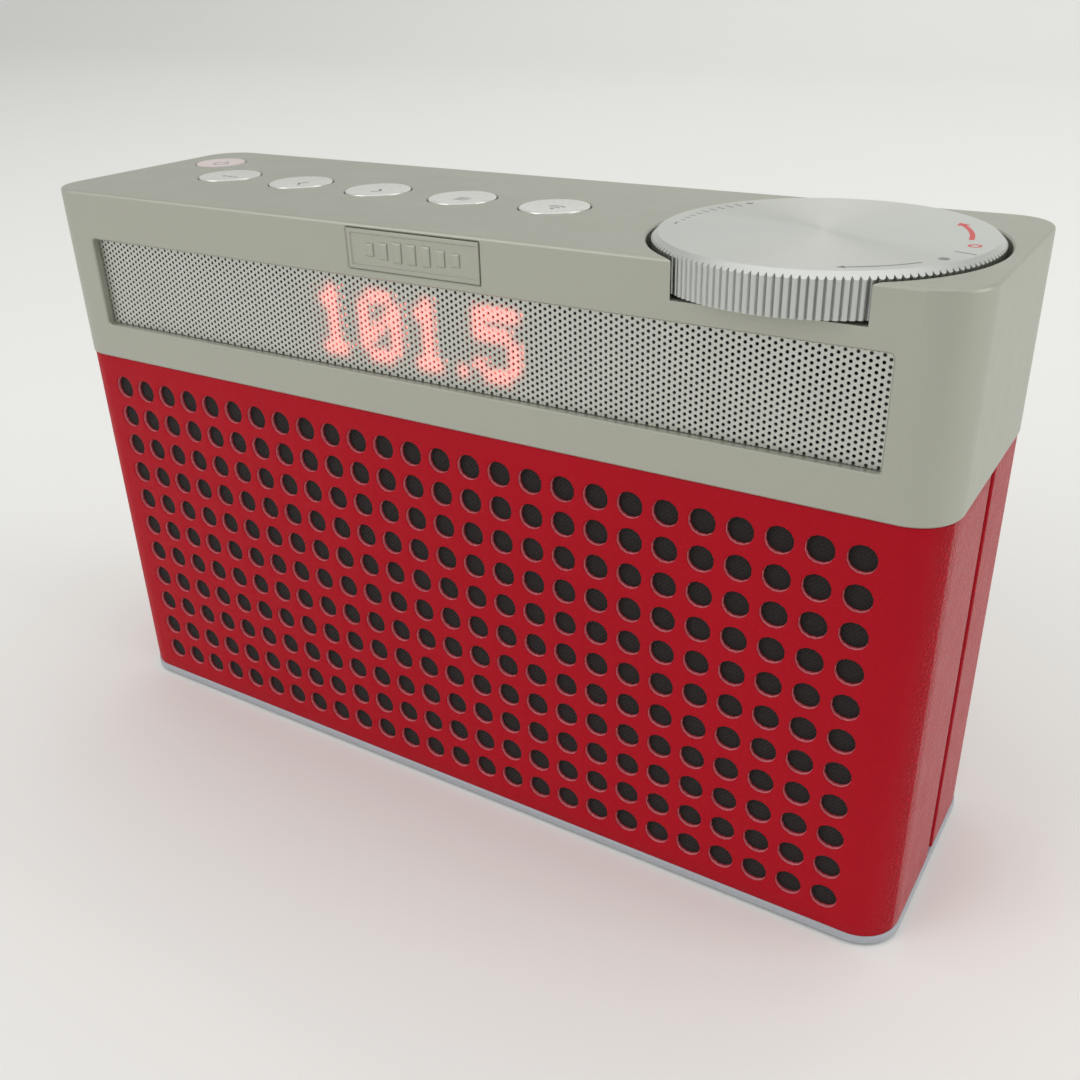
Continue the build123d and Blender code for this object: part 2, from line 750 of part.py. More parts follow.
def cone_surround():
    mid = (cone_r + ledge_r) / 2
    roll = (ledge_r - cone_r) / 2 - 0.2
    roll_profile = Plane.XZ * (Pos(mid, ledge_z + 0.4) * (Circle(roll) - Circle(roll - 0.5)))
    half = revolve(roll_profile, Axis.Z) & ring(ledge_r, cone_r, ledge_z + 0.4, 0)
    rims = ring(ledge_r, mid + roll - 0.5, ledge_z, ledge_z + 0.4)
    rims += ring(mid - roll + 0.5, cone_r - 1.0, ledge_z, ledge_z + 0.4)
    return as_driver(half + rims)


def spider():
    inner = coil_r + coil_wall / 2
    outer = magnet_r - 0.6
    pleats = 4
    step = (outer - inner) / (2 * pleats)
    top = [(inner + i * step, -11.2 + (0.5 if i % 2 else 0.0)) for i in range(2 * pleats + 1)]
    low = [(r, z - 0.4) for r, z in reversed(top)]
    return as_driver(spun(top + low))


def speaker_screws():
    screws = []
    for x, z in speaker_screw_places:
        head_y = panel_in_y - flange_back
        screws.append(
            rod_y(x, z, panel_in_y - speaker_screw_l, head_y, screw_r)
            + rod_y(x, z, head_y, head_y + screw_head_h, speaker_screw_head_r)
        )
    return group(screws)


# ---- battery -------------------------------------------------------------------------------------
cell_x0, cell_x1 = cell_x - cell_l / 2, cell_x + cell_l / 2


def battery_tray():
    out = cell_r + 0.3
    tray = block(
        cell_x0 - tray_wall - 0.5,
        cell_x1 + tray_wall + 0.5,
        cell_y - out - tray_wall,
        cell_y + out + tray_wall,
        leather_bottom,
        cell_z,
    )
    return tray - rod_x(cell_y, cell_z, cell_x0 - 0.5, cell_x1 + 0.5, out)


def battery_cell():
    cell = rod_x(cell_y, cell_z, cell_x0, cell_x1 - 1, cell_r)
    return cell + rod_x(cell_y, cell_z, cell_x1 - 1, cell_x1, 3.0)


def battery_strap():
    half = 6.0
    out = cell_r + 0.3
    band = rod_x(cell_y, cell_z, cell_x - half, cell_x + half, out + 0.6)
    band -= rod_x(cell_y, cell_z, cell_x - half - 1, cell_x + half + 1, cell_r + 0.05)
    return band & block(cell_x - half, cell_x + half, -case_d, case_d, cell_z, cell_z + 20)


# ---- boards and sockets --------------------------------------------------------------------------
def main_board():
    board = block(main_board_x0, main_board_x1, main_board_y0, main_board_y1, main_board_z, board_top)
    for x, y in board_screw_places:
        board -= rod_z(x, y, main_board_z - 1, board_top + 1, screw_r + screw_clearance)
    return board


def board_screws():
    """Screws of both boards: down into the base's posts, and up into the shell's."""
    down = [screw_down(x, y, board_top, board_top - board_screw_end) for x, y in board_screw_places]
    return group(down + key_board_screws())


def board_chips():
    return group(
        block(main_board_x0 + x, main_board_x0 + x + w, y, y + d, board_top, board_top + h)
        for x, y, w, d, h in chip_places
    )


def radio_module():
    x0 = main_board_x0 + 62.0
    return block(x0, x0 + radio_side, -6, -6 + radio_side, board_top, board_top + radio_h)


def usb_socket():
    y1 = housing_in_y - socket_set_back
    half = usb_shell_w / 2
    body = block(usb_x - half, usb_x + half, y1 - usb_shell_d, y1, board_top, board_top + usb_shell_h)
    mid = board_top + usb_shell_h / 2
    deep = y1 - usb_mouth_d
    mouth = front_plate(usb_mouth_w, usb_mouth_h, usb_x, mid, deep, y1 + 1, usb_mouth_h / 2 - 0.1)
    tongue_x, tongue_z = usb_tongue_w / 2, usb_tongue_t / 2
    tongue = block(usb_x - tongue_x, usb_x + tongue_x, deep, y1 - 1, mid - tongue_z, mid + tongue_z)
    return body - mouth + tongue


def jack(x):
    y1 = housing_in_y - socket_set_back
    half = jack_body_w / 2
    body = block(x - half, x + half, y1 - jack_depth, y1, board_top, socket_z + jack_body_rise)
    return body - rod_y(x, socket_z, y1 - jack_depth - 1, y1 + 1, jack_hole_r)


def port_plate():
    y0, gap = housing_y - port_plate_seat, port_plate_gap
    width, height = port_plate_w - 2 * gap, port_plate_h - 2 * gap
    plate = front_plate(width, height, aux_x, socket_z, y0, leather_y - port_plate_sink, port_plate_r - gap)
    plate += port_neck(gap, housing_in_y, y0)
    for x in (aux_x, phones_x):
        plate -= rod_y(x, socket_z, housing_in_y - 1, rear_y + 1, jack_hole_r + plug_clearance)
    return plate - usb_opening(housing_in_y - 1, rear_y + 1)


# ---- telescopic antenna: stowed along -X across the back -----------------------------------------
def antenna_base():
    y0 = rear_y + antenna_gap
    base = rod_y(antenna_x, antenna_z, y0, y0 + antenna_disc_t, antenna_disc_r)
    base += rod_y(antenna_x, antenna_z, shell_in_y - 3.6, y0, spindle_r)
    inner, outer = antenna_ear_z
    for z0, z1 in ((antenna_z - outer, antenna_z - inner), (antenna_z + inner, antenna_z + outer)):
        ear = block(antenna_x - antenna_ear_r, antenna_x + antenna_ear_r, y0 + antenna_disc_t, elbow_y, z0, z1)
        ear += rod_z(antenna_x, elbow_y, z0, z1, antenna_ear_r)
        base += ear
    return base - rod_z(antenna_x, elbow_y, antenna_z - outer - 1, antenna_z + outer + 1, elbow_pin_r)


def antenna_pin():
    outer = antenna_ear_z[1]
    pin = rod_z(antenna_x, elbow_y, antenna_z - outer, antenna_z + outer, elbow_pin_r)
    for z0 in (antenna_z - outer - elbow_pin_head_t, antenna_z + outer):
        pin += rod_z(antenna_x, elbow_y, z0, z0 + elbow_pin_head_t, elbow_pin_head_r)
    return pin


def antenna_nut():
    plane = Plane(origin=(antenna_x, shell_in_y - 3.2, antenna_z), x_dir=(1, 0, 0), z_dir=(0, 1, 0))
    nut = extrude(plane * RegularPolygon(3.9, 6), 2.0)
    return nut - rod_y(antenna_x, antenna_z, shell_in_y - 4, shell_in_y, spindle_r)


def antenna_washer():
    washer = rod_y(antenna_x, antenna_z, shell_in_y - 1.0, shell_in_y, 4.2)
    return washer - rod_y(antenna_x, antenna_z, shell_in_y - 2, shell_in_y + 1, spindle_r + shaft_play)


tube_x1 = antenna_x - antenna_disc_r - 0.9
tube_x0 = tube_x1 - tube_l


def antenna_tube():
    tube = rod_x(elbow_y, antenna_z, tube_x0, tube_x1, tube_r)
    tube -= rod_x(elbow_y, antenna_z, tube_x0 - 1, tube_x1 - 2, tube_r - tube_wall)
    low, high = antenna_z - antenna_neck_h / 2, antenna_z + antenna_neck_h / 2
    neck = block(tube_x1 - 1, antenna_x, elbow_y - neck_half, elbow_y + neck_half, low, high)
    neck += rod_z(antenna_x, elbow_y, low, high, neck_half)
    return tube + neck - rod_z(antenna_x, elbow_y, low - 1, high + 1, elbow_pin_r + shaft_play)


def antenna_section(i):
    r = section_radii[i]
    x0 = tube_x0 - (i + 1) * section_step
    x1 = tube_x1 - 3 - i * 1.5
    rod = rod_x(elbow_y, antenna_z, x0, x1, r)
    if i < len(section_radii) - 1:
        rod -= rod_x(elbow_y, antenna_z, x0 - 1, x1 - 1, r - section_wall)
    return rod


def antenna_tip():
    x1 = tube_x0 - (len(section_radii)) * section_step
    tip = rod_x(elbow_y, antenna_z, x1 - antenna_tip_l, x1, tube_r - 0.1)
    return fillet(tip.edges(), 0.5)


# ---- every node ----------------------------------------------------------------------------------
nodes["top_shell"] = top_shell()
nodes["front_housing"] = front_housing()
nodes["rear_housing"] = rear_housing()
nodes["front_leather"] = front_leather()
nodes["rear_leather"] = rear_leather()
nodes["grille_cloth"] = grille_cloth()
nodes["base_plate"] = base_plate()
nodes["foot_pads"] = foot_pads()
nodes["case_screws"] = case_screws()
nodes["display_mesh"] = display_mesh()
nodes["mesh_frame"] = mesh_frame()
nodes["display_filter"] = display_filter()
nodes["led_matrix"] = led_matrix()
nodes["display_board"] = display_board()
nodes["badge"] = badge()
for name, place in zip(key_names + ["standby_key"], key_places):
    nodes[name] = key(*place)
nodes["tact_switches"] = tact_switches()
nodes["key_board"] = key_board()
nodes["dial_knob"] = dial_knob()
nodes["dial_hub"] = dial_hub()
nodes["pot_shaft"] = pot_shaft()
nodes["pot_body"] = pot_body()
nodes["pot_nut"] = pot_nut()
nodes["driver_gasket"] = driver_gasket()
nodes["driver_basket"] = driver_basket()
nodes["driver_top_plate"] = driver_top_plate()
nodes["driver_magnet"] = driver_magnet()
nodes["driver_yoke"] = driver_yoke()
nodes["voice_coil"] = voice_coil()
nodes["speaker_cone"] = speaker_cone()
nodes["dust_cap"] = dust_cap()
nodes["cone_surround"] = cone_surround()
nodes["spider"] = spider()
nodes["speaker_screws"] = speaker_screws()
nodes["battery_tray"] = battery_tray()
nodes["battery_cell"] = battery_cell()
nodes["battery_strap"] = battery_strap()
nodes["main_board"] = main_board()
nodes["board_screws"] = board_screws()
nodes["board_chips"] = board_chips()
nodes["radio_module"] = radio_module()
nodes["usb_socket"] = usb_socket()
nodes["aux_jack"] = jack(aux_x)
nodes["phones_jack"] = jack(phones_x)
nodes["port_plate"] = port_plate()
nodes["antenna_base"] = antenna_base()
nodes["antenna_pin"] = antenna_pin()
nodes["antenna_nut"] = antenna_nut()
nodes["antenna_washer"] = antenna_washer()
nodes["antenna_tube"] = antenna_tube()
for i in range(len(section_radii)):
    nodes[f"antenna_section_{i + 2}"] = antenna_section(i)
nodes["antenna_tip"] = antenna_tip()

os.makedirs("parts", exist_ok=True)
for name, shape in nodes.items():
    export_step(shape, f"parts/{name}.step")
print(len(nodes), "nodes written")
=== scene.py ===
import json
from math import atan2, cos, degrees, hypot, pi, radians, sin, sqrt

import bmesh
import bpy
from mathutils import Matrix, Vector


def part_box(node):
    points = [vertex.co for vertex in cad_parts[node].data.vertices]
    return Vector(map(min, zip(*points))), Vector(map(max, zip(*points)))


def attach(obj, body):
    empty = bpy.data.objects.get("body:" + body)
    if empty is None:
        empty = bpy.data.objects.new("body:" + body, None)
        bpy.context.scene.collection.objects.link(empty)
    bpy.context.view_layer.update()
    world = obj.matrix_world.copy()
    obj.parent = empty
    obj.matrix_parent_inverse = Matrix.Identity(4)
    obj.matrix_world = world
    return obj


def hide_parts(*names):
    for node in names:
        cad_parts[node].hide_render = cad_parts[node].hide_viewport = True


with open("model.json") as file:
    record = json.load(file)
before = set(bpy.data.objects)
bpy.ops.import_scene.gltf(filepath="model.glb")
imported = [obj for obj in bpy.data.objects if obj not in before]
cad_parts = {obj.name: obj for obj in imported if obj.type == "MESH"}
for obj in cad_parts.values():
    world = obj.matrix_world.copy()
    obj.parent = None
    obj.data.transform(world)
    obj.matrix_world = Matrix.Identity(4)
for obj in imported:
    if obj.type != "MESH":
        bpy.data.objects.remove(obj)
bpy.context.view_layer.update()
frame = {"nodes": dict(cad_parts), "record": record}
mm = 0.001
print("stage: frame loaded,", len(frame["nodes"]), "nodes")


# working helpers

def nothingSelected():
    if bpy.context.mode != "OBJECT":
        bpy.ops.object.mode_set(mode="OBJECT")
    bpy.ops.object.select_all(action="DESELECT")


def only(obj):
    nothingSelected()
    obj.select_set(True)
    bpy.context.view_layer.objects.active = obj
    return obj


def placed(name):
    # the primitive just added: its size and place go into its mesh
    obj = bpy.context.object
    obj.name = name
    obj.data.name = name
    bpy.ops.object.transform_apply(location=True, rotation=True, scale=True)
    return obj


def editing(obj, whole=False):
    only(obj)
    bpy.ops.object.mode_set(mode="EDIT")
    if whole:
        everything()


def everything():
    bpy.ops.mesh.select_all(action="SELECT")


def flipped(obj):
    editing(obj, True)
    bpy.ops.mesh.flip_normals()
    done()


def repeated(obj, count, move, **settings):
    finishWith(obj, "ARRAY", count=count, use_relative_offset=False, use_constant_offset=True,
               constant_offset_displace=move, **settings)


def along(axis, value=1):
    # a vector with the value on one axis
    return [value if i == axis else 0 for i in range(3)]


def done():
    bpy.ops.object.mode_set(mode="OBJECT")


def pick(kind, test):
    # selects the verts, edges or faces that pass the test
    bpy.ops.mesh.select_mode(type={"verts": "VERT", "edges": "EDGE", "faces": "FACE"}[kind])
    bpy.ops.mesh.select_all(action="DESELECT")
    mesh = bpy.context.edit_object.data
    work = bmesh.from_edit_mesh(mesh)
    for part in getattr(work, kind):
        if test(part):
            part.select_set(True)
    work.select_flush_mode()
    bmesh.update_edit_mesh(mesh)


def near(a, b, slack=0.00002):
    return abs(a - b) < slack


def onLine(edge, axis, value):
    return all(near(v.co[axis], value) for v in edge.verts)


def slide(*move):
    bpy.ops.transform.translate(value=move)


def stretch(centre, *factors):
    bpy.ops.transform.resize(value=factors, center_override=centre)


def pull(*move):
    bpy.ops.mesh.extrude_region_move(TRANSFORM_OT_translate={"value": move})


def finishWith(obj, kind, **settings):
    only(obj)
    modifier = obj.modifiers.new(kind.lower(), kind)
    for key, value in settings.items():
        setattr(modifier, key, value)
    bpy.ops.object.modifier_apply(modifier=modifier.name)


def tidyMesh(obj, gap=0.00001):
    editing(obj, True)
    bpy.ops.mesh.remove_doubles(threshold=gap)
    bpy.ops.mesh.normals_make_consistent(inside=False)
    done()


def smooth(obj, angle=35):
    only(obj)
    bpy.ops.object.shade_smooth_by_angle(angle=radians(angle))


def joined(name, pieces):
    nothingSelected()
    for piece in pieces:
        piece.select_set(True)
    bpy.context.view_layer.objects.active = pieces[0]
    bpy.ops.object.join()
    pieces[0].name = name
    pieces[0].data.name = name
    return pieces[0]


def copyAt(obj, name, move=(0, 0, 0), factors=(1, 1, 1), about=(0, 0, 0)):
    # its own mesh, moved and scaled about a point, object left at the origin
    twin = obj.copy()
    twin.data = obj.data.copy()
    twin.name = name
    bpy.context.scene.collection.objects.link(twin)
    about = Vector(about)
    scaled = Matrix.Diagonal((*factors, 1)) @ Matrix.Translation(-about)
    twin.data.transform(Matrix.Translation(about + Vector(move)) @ scaled)
    return twin


def give(obj, body, material):
    obj.data.materials.clear()
    obj.data.materials.append(material)
    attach(obj, body)


def centreOf(node):
    low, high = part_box(node)
    return [(a + b) / 2 for a, b in zip(low, high)]


# node helpers and the shared effects

def put(tree, kind, inputs=None, **settings):
    made = tree.nodes.new(kind)
    for key, value in settings.items():
        setattr(made, key, value)
    for key, value in (inputs or {}).items():
        if isinstance(value, bpy.types.NodeSocket):
            tree.links.new(value, made.inputs[key])
        else:
            made.inputs[key].default_value = value
    return made


def sum2(tree, kind, a, b, clamp=False):
    return put(tree, "ShaderNodeMath", {0: a, 1: b}, operation=kind, use_clamp=clamp).outputs[0]


def times(tree, a, b, clamp=False):
    return sum2(tree, "MULTIPLY", a, b, clamp)


def newEffect(name, inputs, outputs):
    tree = bpy.data.node_groups.new(name, "ShaderNodeTree")
    for label, kind, value in inputs:
        socket = tree.interface.new_socket(label, in_out="INPUT", socket_type=kind)
        socket.default_value = value
    for label, kind in outputs:
        tree.interface.new_socket(label, in_out="OUTPUT", socket_type=kind)
    return tree, tree.nodes.new("NodeGroupInput").outputs, tree.nodes.new("NodeGroupOutput").inputs


def objectPlace(tree):
    return put(tree, "ShaderNodeTexCoord").outputs["Object"]


def facing(tree):
    # the parts of the surface's normal
    normal = put(tree, "ShaderNodeNewGeometry").outputs["Normal"]
    return put(tree, "ShaderNodeSeparateXYZ", {0: normal}).outputs


def noise(tree, scale, detail):
    return put(tree, "ShaderNodeTexNoise", {"Vector": objectPlace(tree), "Scale": scale, "Detail": detail})


number, colour = "NodeSocketFloat", "NodeSocketColor"


def makeToneEffect():
    # slow variation of colour and roughness over a surface
    tree, given, out = newEffect(
        "surfaceTone",
        [("Color", colour, (0.5, 0.5, 0.5, 1)), ("Shift", number, 0.05), ("Scale", number, 40.0),
         ("Roughness", number, 0.5), ("Rough Shift", number, 0.08)],
        [("Color", colour), ("Roughness", number)])
    place = objectPlace(tree)
    slow = put(tree, "ShaderNodeTexNoise", {"Vector": place, "Scale": given["Scale"], "Detail": 3.0})
    fineScale = times(tree, given["Scale"], 9.0)
    fine = put(tree, "ShaderNodeTexNoise", {"Vector": place, "Scale": fineScale, "Detail": 2.0})
    swing = sum2(tree, "SUBTRACT", slow.outputs["Fac"], 0.5)
    gain = sum2(tree, "ADD", times(tree, swing, times(tree, given["Shift"], 2.0)), 1.0)
    tinted = put(tree, "ShaderNodeVectorMath", {0: given["Color"], "Scale": gain}, operation="SCALE")
    tree.links.new(tinted.outputs[0], out["Color"])
    fineSwing = sum2(tree, "SUBTRACT", fine.outputs["Fac"], 0.5)
    change = times(tree, fineSwing, times(tree, given["Rough Shift"], 2.0))
    tree.links.new(sum2(tree, "ADD", given["Roughness"], change, True), out["Roughness"])
    return tree


def makeSpeckEffect():
    # very fine grains: moulded skin, paint flakes, rubber bloom
    tree, given, out = newEffect(
        "fineSpeck", [("Scale", number, 4000.0), ("Cut", number, 0.6)],
        [("Mask", number), ("Height", number)])
    grains = noise(tree, given["Scale"], 2.0)
    over = sum2(tree, "SUBTRACT", grains.outputs["Fac"], given["Cut"])
    tree.links.new(times(tree, over, 8.0, True), out["Mask"])
    tree.links.new(grains.outputs["Fac"], out["Height"])
    return tree


def makePebbleEffect():
    # leather grain: rounded cells with creases between them
    tree, given, out = newEffect(
        "pebbleGrain", [("Scale", number, 1100.0), ("Wander", number, 0.4)],
        [("Height", number), ("Crease", number)])
    place = objectPlace(tree)
    drift = put(tree, "ShaderNodeTexNoise", {"Vector": place, "Scale": given["Scale"], "Detail": 1.0})
    reach = sum2(tree, "DIVIDE", given["Wander"], given["Scale"])
    shove = put(tree, "ShaderNodeVectorMath", {0: drift.outputs["Color"], "Scale": reach}, operation="SCALE")
    moved = put(tree, "ShaderNodeVectorMath", {0: place, 1: shove.outputs[0]}, operation="ADD")
    cells = put(tree, "ShaderNodeTexVoronoi", {"Vector": moved.outputs[0], "Scale": given["Scale"]},
                feature="DISTANCE_TO_EDGE")
    rise = put(tree, "ShaderNodeMapRange", {0: cells.outputs["Distance"], 2: 0.28},
               interpolation_type="SMOOTHSTEP")
    fine = put(tree, "ShaderNodeTexNoise",
               {"Vector": place, "Scale": times(tree, given["Scale"], 3.0), "Detail": 3.0})
    fineShare = times(tree, fine.outputs["Fac"], 0.35)
    tree.links.new(sum2(tree, "ADD", rise.outputs[0], fineShare), out["Height"])
    tree.links.new(sum2(tree, "SUBTRACT", 1.0, rise.outputs[0]), out["Crease"])
    return tree


def makeWeaveEffect():
    # plain weave across X and Z, threads over and under each other
    tree, given, out = newEffect("plainWeave", [("Pitch", number, 0.0004)], [("Height", number)])
    parts = put(tree, "ShaderNodeSeparateXYZ", {0: objectPlace(tree)}).outputs
    waves = []
    for axis in ("X", "Z"):
        turn = times(tree, sum2(tree, "DIVIDE", parts[axis], given["Pitch"]), pi)
        waves.append(put(tree, "ShaderNodeMath", {0: turn}, operation="SINE").outputs[0])
    crowns = [put(tree, "ShaderNodeMath", {0: wave}, operation="ABSOLUTE").outputs[0] for wave in waves]
    which = sum2(tree, "GREATER_THAN", times(tree, waves[0], waves[1]), 0.0)
    height = put(tree, "ShaderNodeMix", {0: which, 2: crowns[0], 3: crowns[1]})
    tree.links.new(height.outputs[0], out["Height"])
    return tree


def makeSpunEffect():
    # rings left by turning, about an upright axis
    tree, given, out = newEffect(
        "turnedRings", [("Axis X", number, 0.0), ("Axis Y", number, 0.0), ("Fineness", number, 3000.0)],
        [("Height", number)])
    parts = put(tree, "ShaderNodeSeparateXYZ", {0: objectPlace(tree)}).outputs
    sides = [sum2(tree, "SUBTRACT", parts[axis], given["Axis " + axis]) for axis in ("X", "Y")]
    squares = [times(tree, side, side) for side in sides]
    away = put(tree, "ShaderNodeMath", {0: sum2(tree, "ADD", *squares)}, operation="SQRT").outputs[0]
    rings = put(tree, "ShaderNodeTexNoise", {"W": away, "Scale": given["Fineness"], "Detail": 2.0},
                noise_dimensions="1D")
    tree.links.new(rings.outputs["Fac"], out["Height"])
    return tree


def makeDustEffect():
    # pale dust that settles on what faces up
    tree, given, out = newEffect(
        "settledDust", [("Amount", number, 0.2), ("Scale", number, 60.0)], [("Mask", number)])
    up = facing(tree)["Z"]
    cloud = noise(tree, given["Scale"], 5.0)
    patch = put(tree, "ShaderNodeMapRange", {0: cloud.outputs["Fac"], 1: 0.4, 2: 0.75}).outputs[0]
    share = times(tree, times(tree, up, patch, True), given["Amount"], True)
    tree.links.new(share, out["Mask"])
    return tree


effects = {
    "tone": makeToneEffect(), "speck": makeSpeckEffect(), "pebble": makePebbleEffect(),
    "weave": makeWeaveEffect(), "spun": makeSpunEffect(), "dust": makeDustEffect(),
}


def effect(tree, name, **inputs):
    made = tree.nodes.new("ShaderNodeGroup")
    made.node_tree = effects[name]
    for key, value in inputs.items():
        label = key.replace("_", " ")
        if isinstance(value, bpy.types.NodeSocket):
            tree.links.new(value, made.inputs[label])
        else:
            made.inputs[label].default_value = value
    return made.outputs


def newMaterial(name, **constants):
    # Principled material, with the constants on its own sockets
    material = bpy.data.materials.new(name)
    material.use_nodes = True
    shader = material.node_tree.nodes["Principled BSDF"]
    for key, value in constants.items():
        shader.inputs[key.replace("_", " ")].default_value = value
    return material, material.node_tree, shader.inputs


def bumpFrom(tree, sockets, height, strength, depth):
    bump = put(tree, "ShaderNodeBump", {"Strength": strength, "Distance": depth, "Height": height})
    tree.links.new(bump.outputs[0], sockets["Normal"])


def colourFrom(tree, sockets, shade, tone):
    tree.links.new(shade, sockets["Base Color"])
    tree.links.new(tone["Roughness"], sockets["Roughness"])


def blendColours(tree, share, first, second):
    mix = put(tree, "ShaderNodeMix", {0: share, 6: first, 7: second}, data_type="RGBA")
    return mix.outputs[2]


# camera, floor and light

cameraSet = dict(
    place=(0.11908, -0.17260, 0.15291), right=(0.84789, 0.52952, -0.02619),
    down=(0.22212, -0.39964, -0.88935), ahead=(-0.48140, 0.74826, -0.45647), lens=37.99, sensor=36.0)


def setCamera():
    data = bpy.data.cameras.new("camera")
    data.lens = cameraSet["lens"]
    data.sensor_width = cameraSet["sensor"]
    data.clip_start = 0.01
    camera = bpy.data.objects.new("camera", data)
    bpy.context.scene.collection.objects.link(camera)
    columns = [Vector(cameraSet["right"]), -Vector(cameraSet["down"]), -Vector(cameraSet["ahead"])]
    turn = Matrix(columns).transposed().to_4x4()
    camera.matrix_world = Matrix.Translation(cameraSet["place"]) @ turn
    bpy.context.scene.camera = camera


stageSet = dict(halfWidth=2.8, front=-2.4, back=2.4, height=2.0, curveR=0.9)


def setStage():
    # a floor that sweeps up into a backdrop
    nothingSelected()
    depth = stageSet["back"] - stageSet["front"]
    middle = (stageSet["back"] + stageSet["front"]) / 2
    bpy.ops.mesh.primitive_plane_add(size=1, location=(0, middle, 0))
    bpy.context.object.scale = (2 * stageSet["halfWidth"], depth, 1)
    floor = placed("studioFloor")
    editing(floor)
    pick("edges", lambda e: onLine(e, 1, stageSet["back"]))
    pull(0, 0, stageSet["height"])
    pick("edges", lambda e: onLine(e, 1, stageSet["back"]) and onLine(e, 2, 0))
    bpy.ops.mesh.bevel(offset=stageSet["curveR"], segments=24, affect="EDGES")
    done()
    smooth(floor, 60)
    material, tree, sockets = newMaterial("paleBackdrop", Roughness=0.75)
    tone = effect(tree, "tone", Color=(0.90, 0.90, 0.875, 1), Shift=0.015, Scale=3.0, Roughness=0.75)
    tree.links.new(tone["Color"], sockets["Base Color"])
    floor.data.materials.append(material)


lightSet = {
    "ceilingPanel": dict(place=(0.05, -0.05, 1.15), aim=(0, 0, 0.03), size=(1.5, 1.2), power=2.7),
    "frontPanel": dict(place=(-0.75, -1.05, 0.75), aim=(0, 0, 0.05), size=(0.9, 0.9), power=5.0),
    "windowPanel": dict(place=(1.25, 0.25, 0.55), aim=(0, 0, 0.06), size=(0.9, 0.9), power=4.2),
    "backdropPanel": dict(place=(0, 0.9, 1.7), aim=(0, 2.4, 0.5), size=(2.4, 0.8), power=8.0),
}
roomSet = dict(colour=(1.0, 1.0, 0.985, 1), strength=0.58)


def setLights():
    for name, one in lightSet.items():
        data = bpy.data.lights.new(name, "AREA")
        data.shape = "RECTANGLE"
        data.size, data.size_y = one["size"]
        data.energy = one["power"]
        lamp = bpy.data.objects.new(name, data)
        bpy.context.scene.collection.objects.link(lamp)
        aim = Vector(one["aim"]) - Vector(one["place"])
        turn = aim.to_track_quat("-Z", "Y").to_matrix().to_4x4()
        lamp.matrix_world = Matrix.Translation(one["place"]) @ turn
    world = bpy.data.worlds.new("softRoom")
    world.use_nodes = True
    background = world.node_tree.nodes["Background"].inputs
    background["Color"].default_value = roomSet["colour"]
    background["Strength"].default_value = roomSet["strength"]
    bpy.context.scene.world = world
    bpy.context.scene.view_settings.view_transform = "Standard"


setCamera()
setStage()
setLights()
print("stage: camera, floor and light")


# finishes of this radio

def paintFinish():
    material, tree, sockets = newMaterial("shellPaint", Metallic=0.45, Specular_IOR_Level=0.5)
    tone = effect(tree, "tone", Color=(0.41, 0.42, 0.355, 1), Shift=0.02, Scale=25.0, Roughness=0.42,
                  Rough_Shift=0.05)
    flakes = effect(tree, "speck", Scale=5200.0, Cut=0.60)
    dust = effect(tree, "dust", Amount=0.10, Scale=70.0)
    sparkle = blendColours(tree, times(tree, flakes["Mask"], 0.35), tone["Color"], (0.52, 0.53, 0.47, 1))
    dusty = blendColours(tree, dust["Mask"], sparkle, (0.62, 0.61, 0.57, 1))
    colourFrom(tree, sockets, dusty, tone)
    bumpFrom(tree, sockets, flakes["Height"], 0.12, 0.00002)
    return material


def leatherFinish(name, sheen, specular):
    # fine grain on the front panel, coarse pebble round the corners, on the sides and the back
    material, tree, sockets = newMaterial(name, Sheen_Weight=sheen, Sheen_Roughness=0.4,
                                          Specular_IOR_Level=specular, Sheen_Tint=(1.0, 0.62, 0.62, 1))
    around = put(tree, "ShaderNodeMapRange", {0: facing(tree)["Y"], 1: -0.9, 2: -0.45},
                 interpolation_type="SMOOTHSTEP")
    share = around.outputs[0]
    fine = effect(tree, "pebble", Scale=2300.0, Wander=0.5)
    coarse = effect(tree, "pebble", Scale=1050.0, Wander=0.6)
    tone = effect(tree, "tone", Color=(0.43, 0.002, 0.012, 1), Shift=0.07, Scale=30.0, Roughness=0.5,
                  Rough_Shift=0.10)
    # painted shade: the creases between the grain cells are coloured darker, lightly on the front and more on
    # the sides
    creaseShadeShare = put(tree, "ShaderNodeMix", {0: share, 2: 0.10, 3: 0.45}).outputs[0]
    crease = put(tree, "ShaderNodeMix", {0: share, 2: fine["Crease"], 3: coarse["Crease"]}).outputs[0]
    creaseShaded = blendColours(tree, times(tree, crease, creaseShadeShare), tone["Color"], (0.19, 0.001, 0.006, 1))
    # the hole lips are coloured pale pink: partly the lighter cut edge of the leather, partly a painted
    # highlight on the rolled lips
    rim = put(tree, "ShaderNodeAttribute", attribute_name="cutRimHighlight").outputs["Fac"]
    rimHighlighted = blendColours(tree, rim, creaseShaded, (0.84, 0.27, 0.31, 1))
    colourFrom(tree, sockets, rimHighlighted, tone)
    height = put(tree, "ShaderNodeMix", {0: share, 2: fine["Height"], 3: coarse["Height"]}).outputs[0]
    depth = put(tree, "ShaderNodeMix", {0: share, 2: 0.22, 3: 0.75}).outputs[0]
    bumpFrom(tree, sockets, times(tree, height, depth), 1.0, 0.00012)
    return material


def plasticFinish(name, base, roughness=0.5, grain=2600.0, depth=0.00003, dust=0.0):
    material, tree, sockets = newMaterial(name)
    tone = effect(tree, "tone", Color=base, Shift=0.08, Scale=60.0, Roughness=roughness, Rough_Shift=0.08)
    grains = effect(tree, "speck", Scale=grain, Cut=0.62)
    settled = effect(tree, "dust", Amount=dust, Scale=80.0)
    dusty = blendColours(tree, settled["Mask"], tone["Color"], (0.45, 0.43, 0.40, 1))
    colourFrom(tree, sockets, dusty, tone)
    bumpFrom(tree, sockets, grains["Height"], 0.5, depth)
    return material


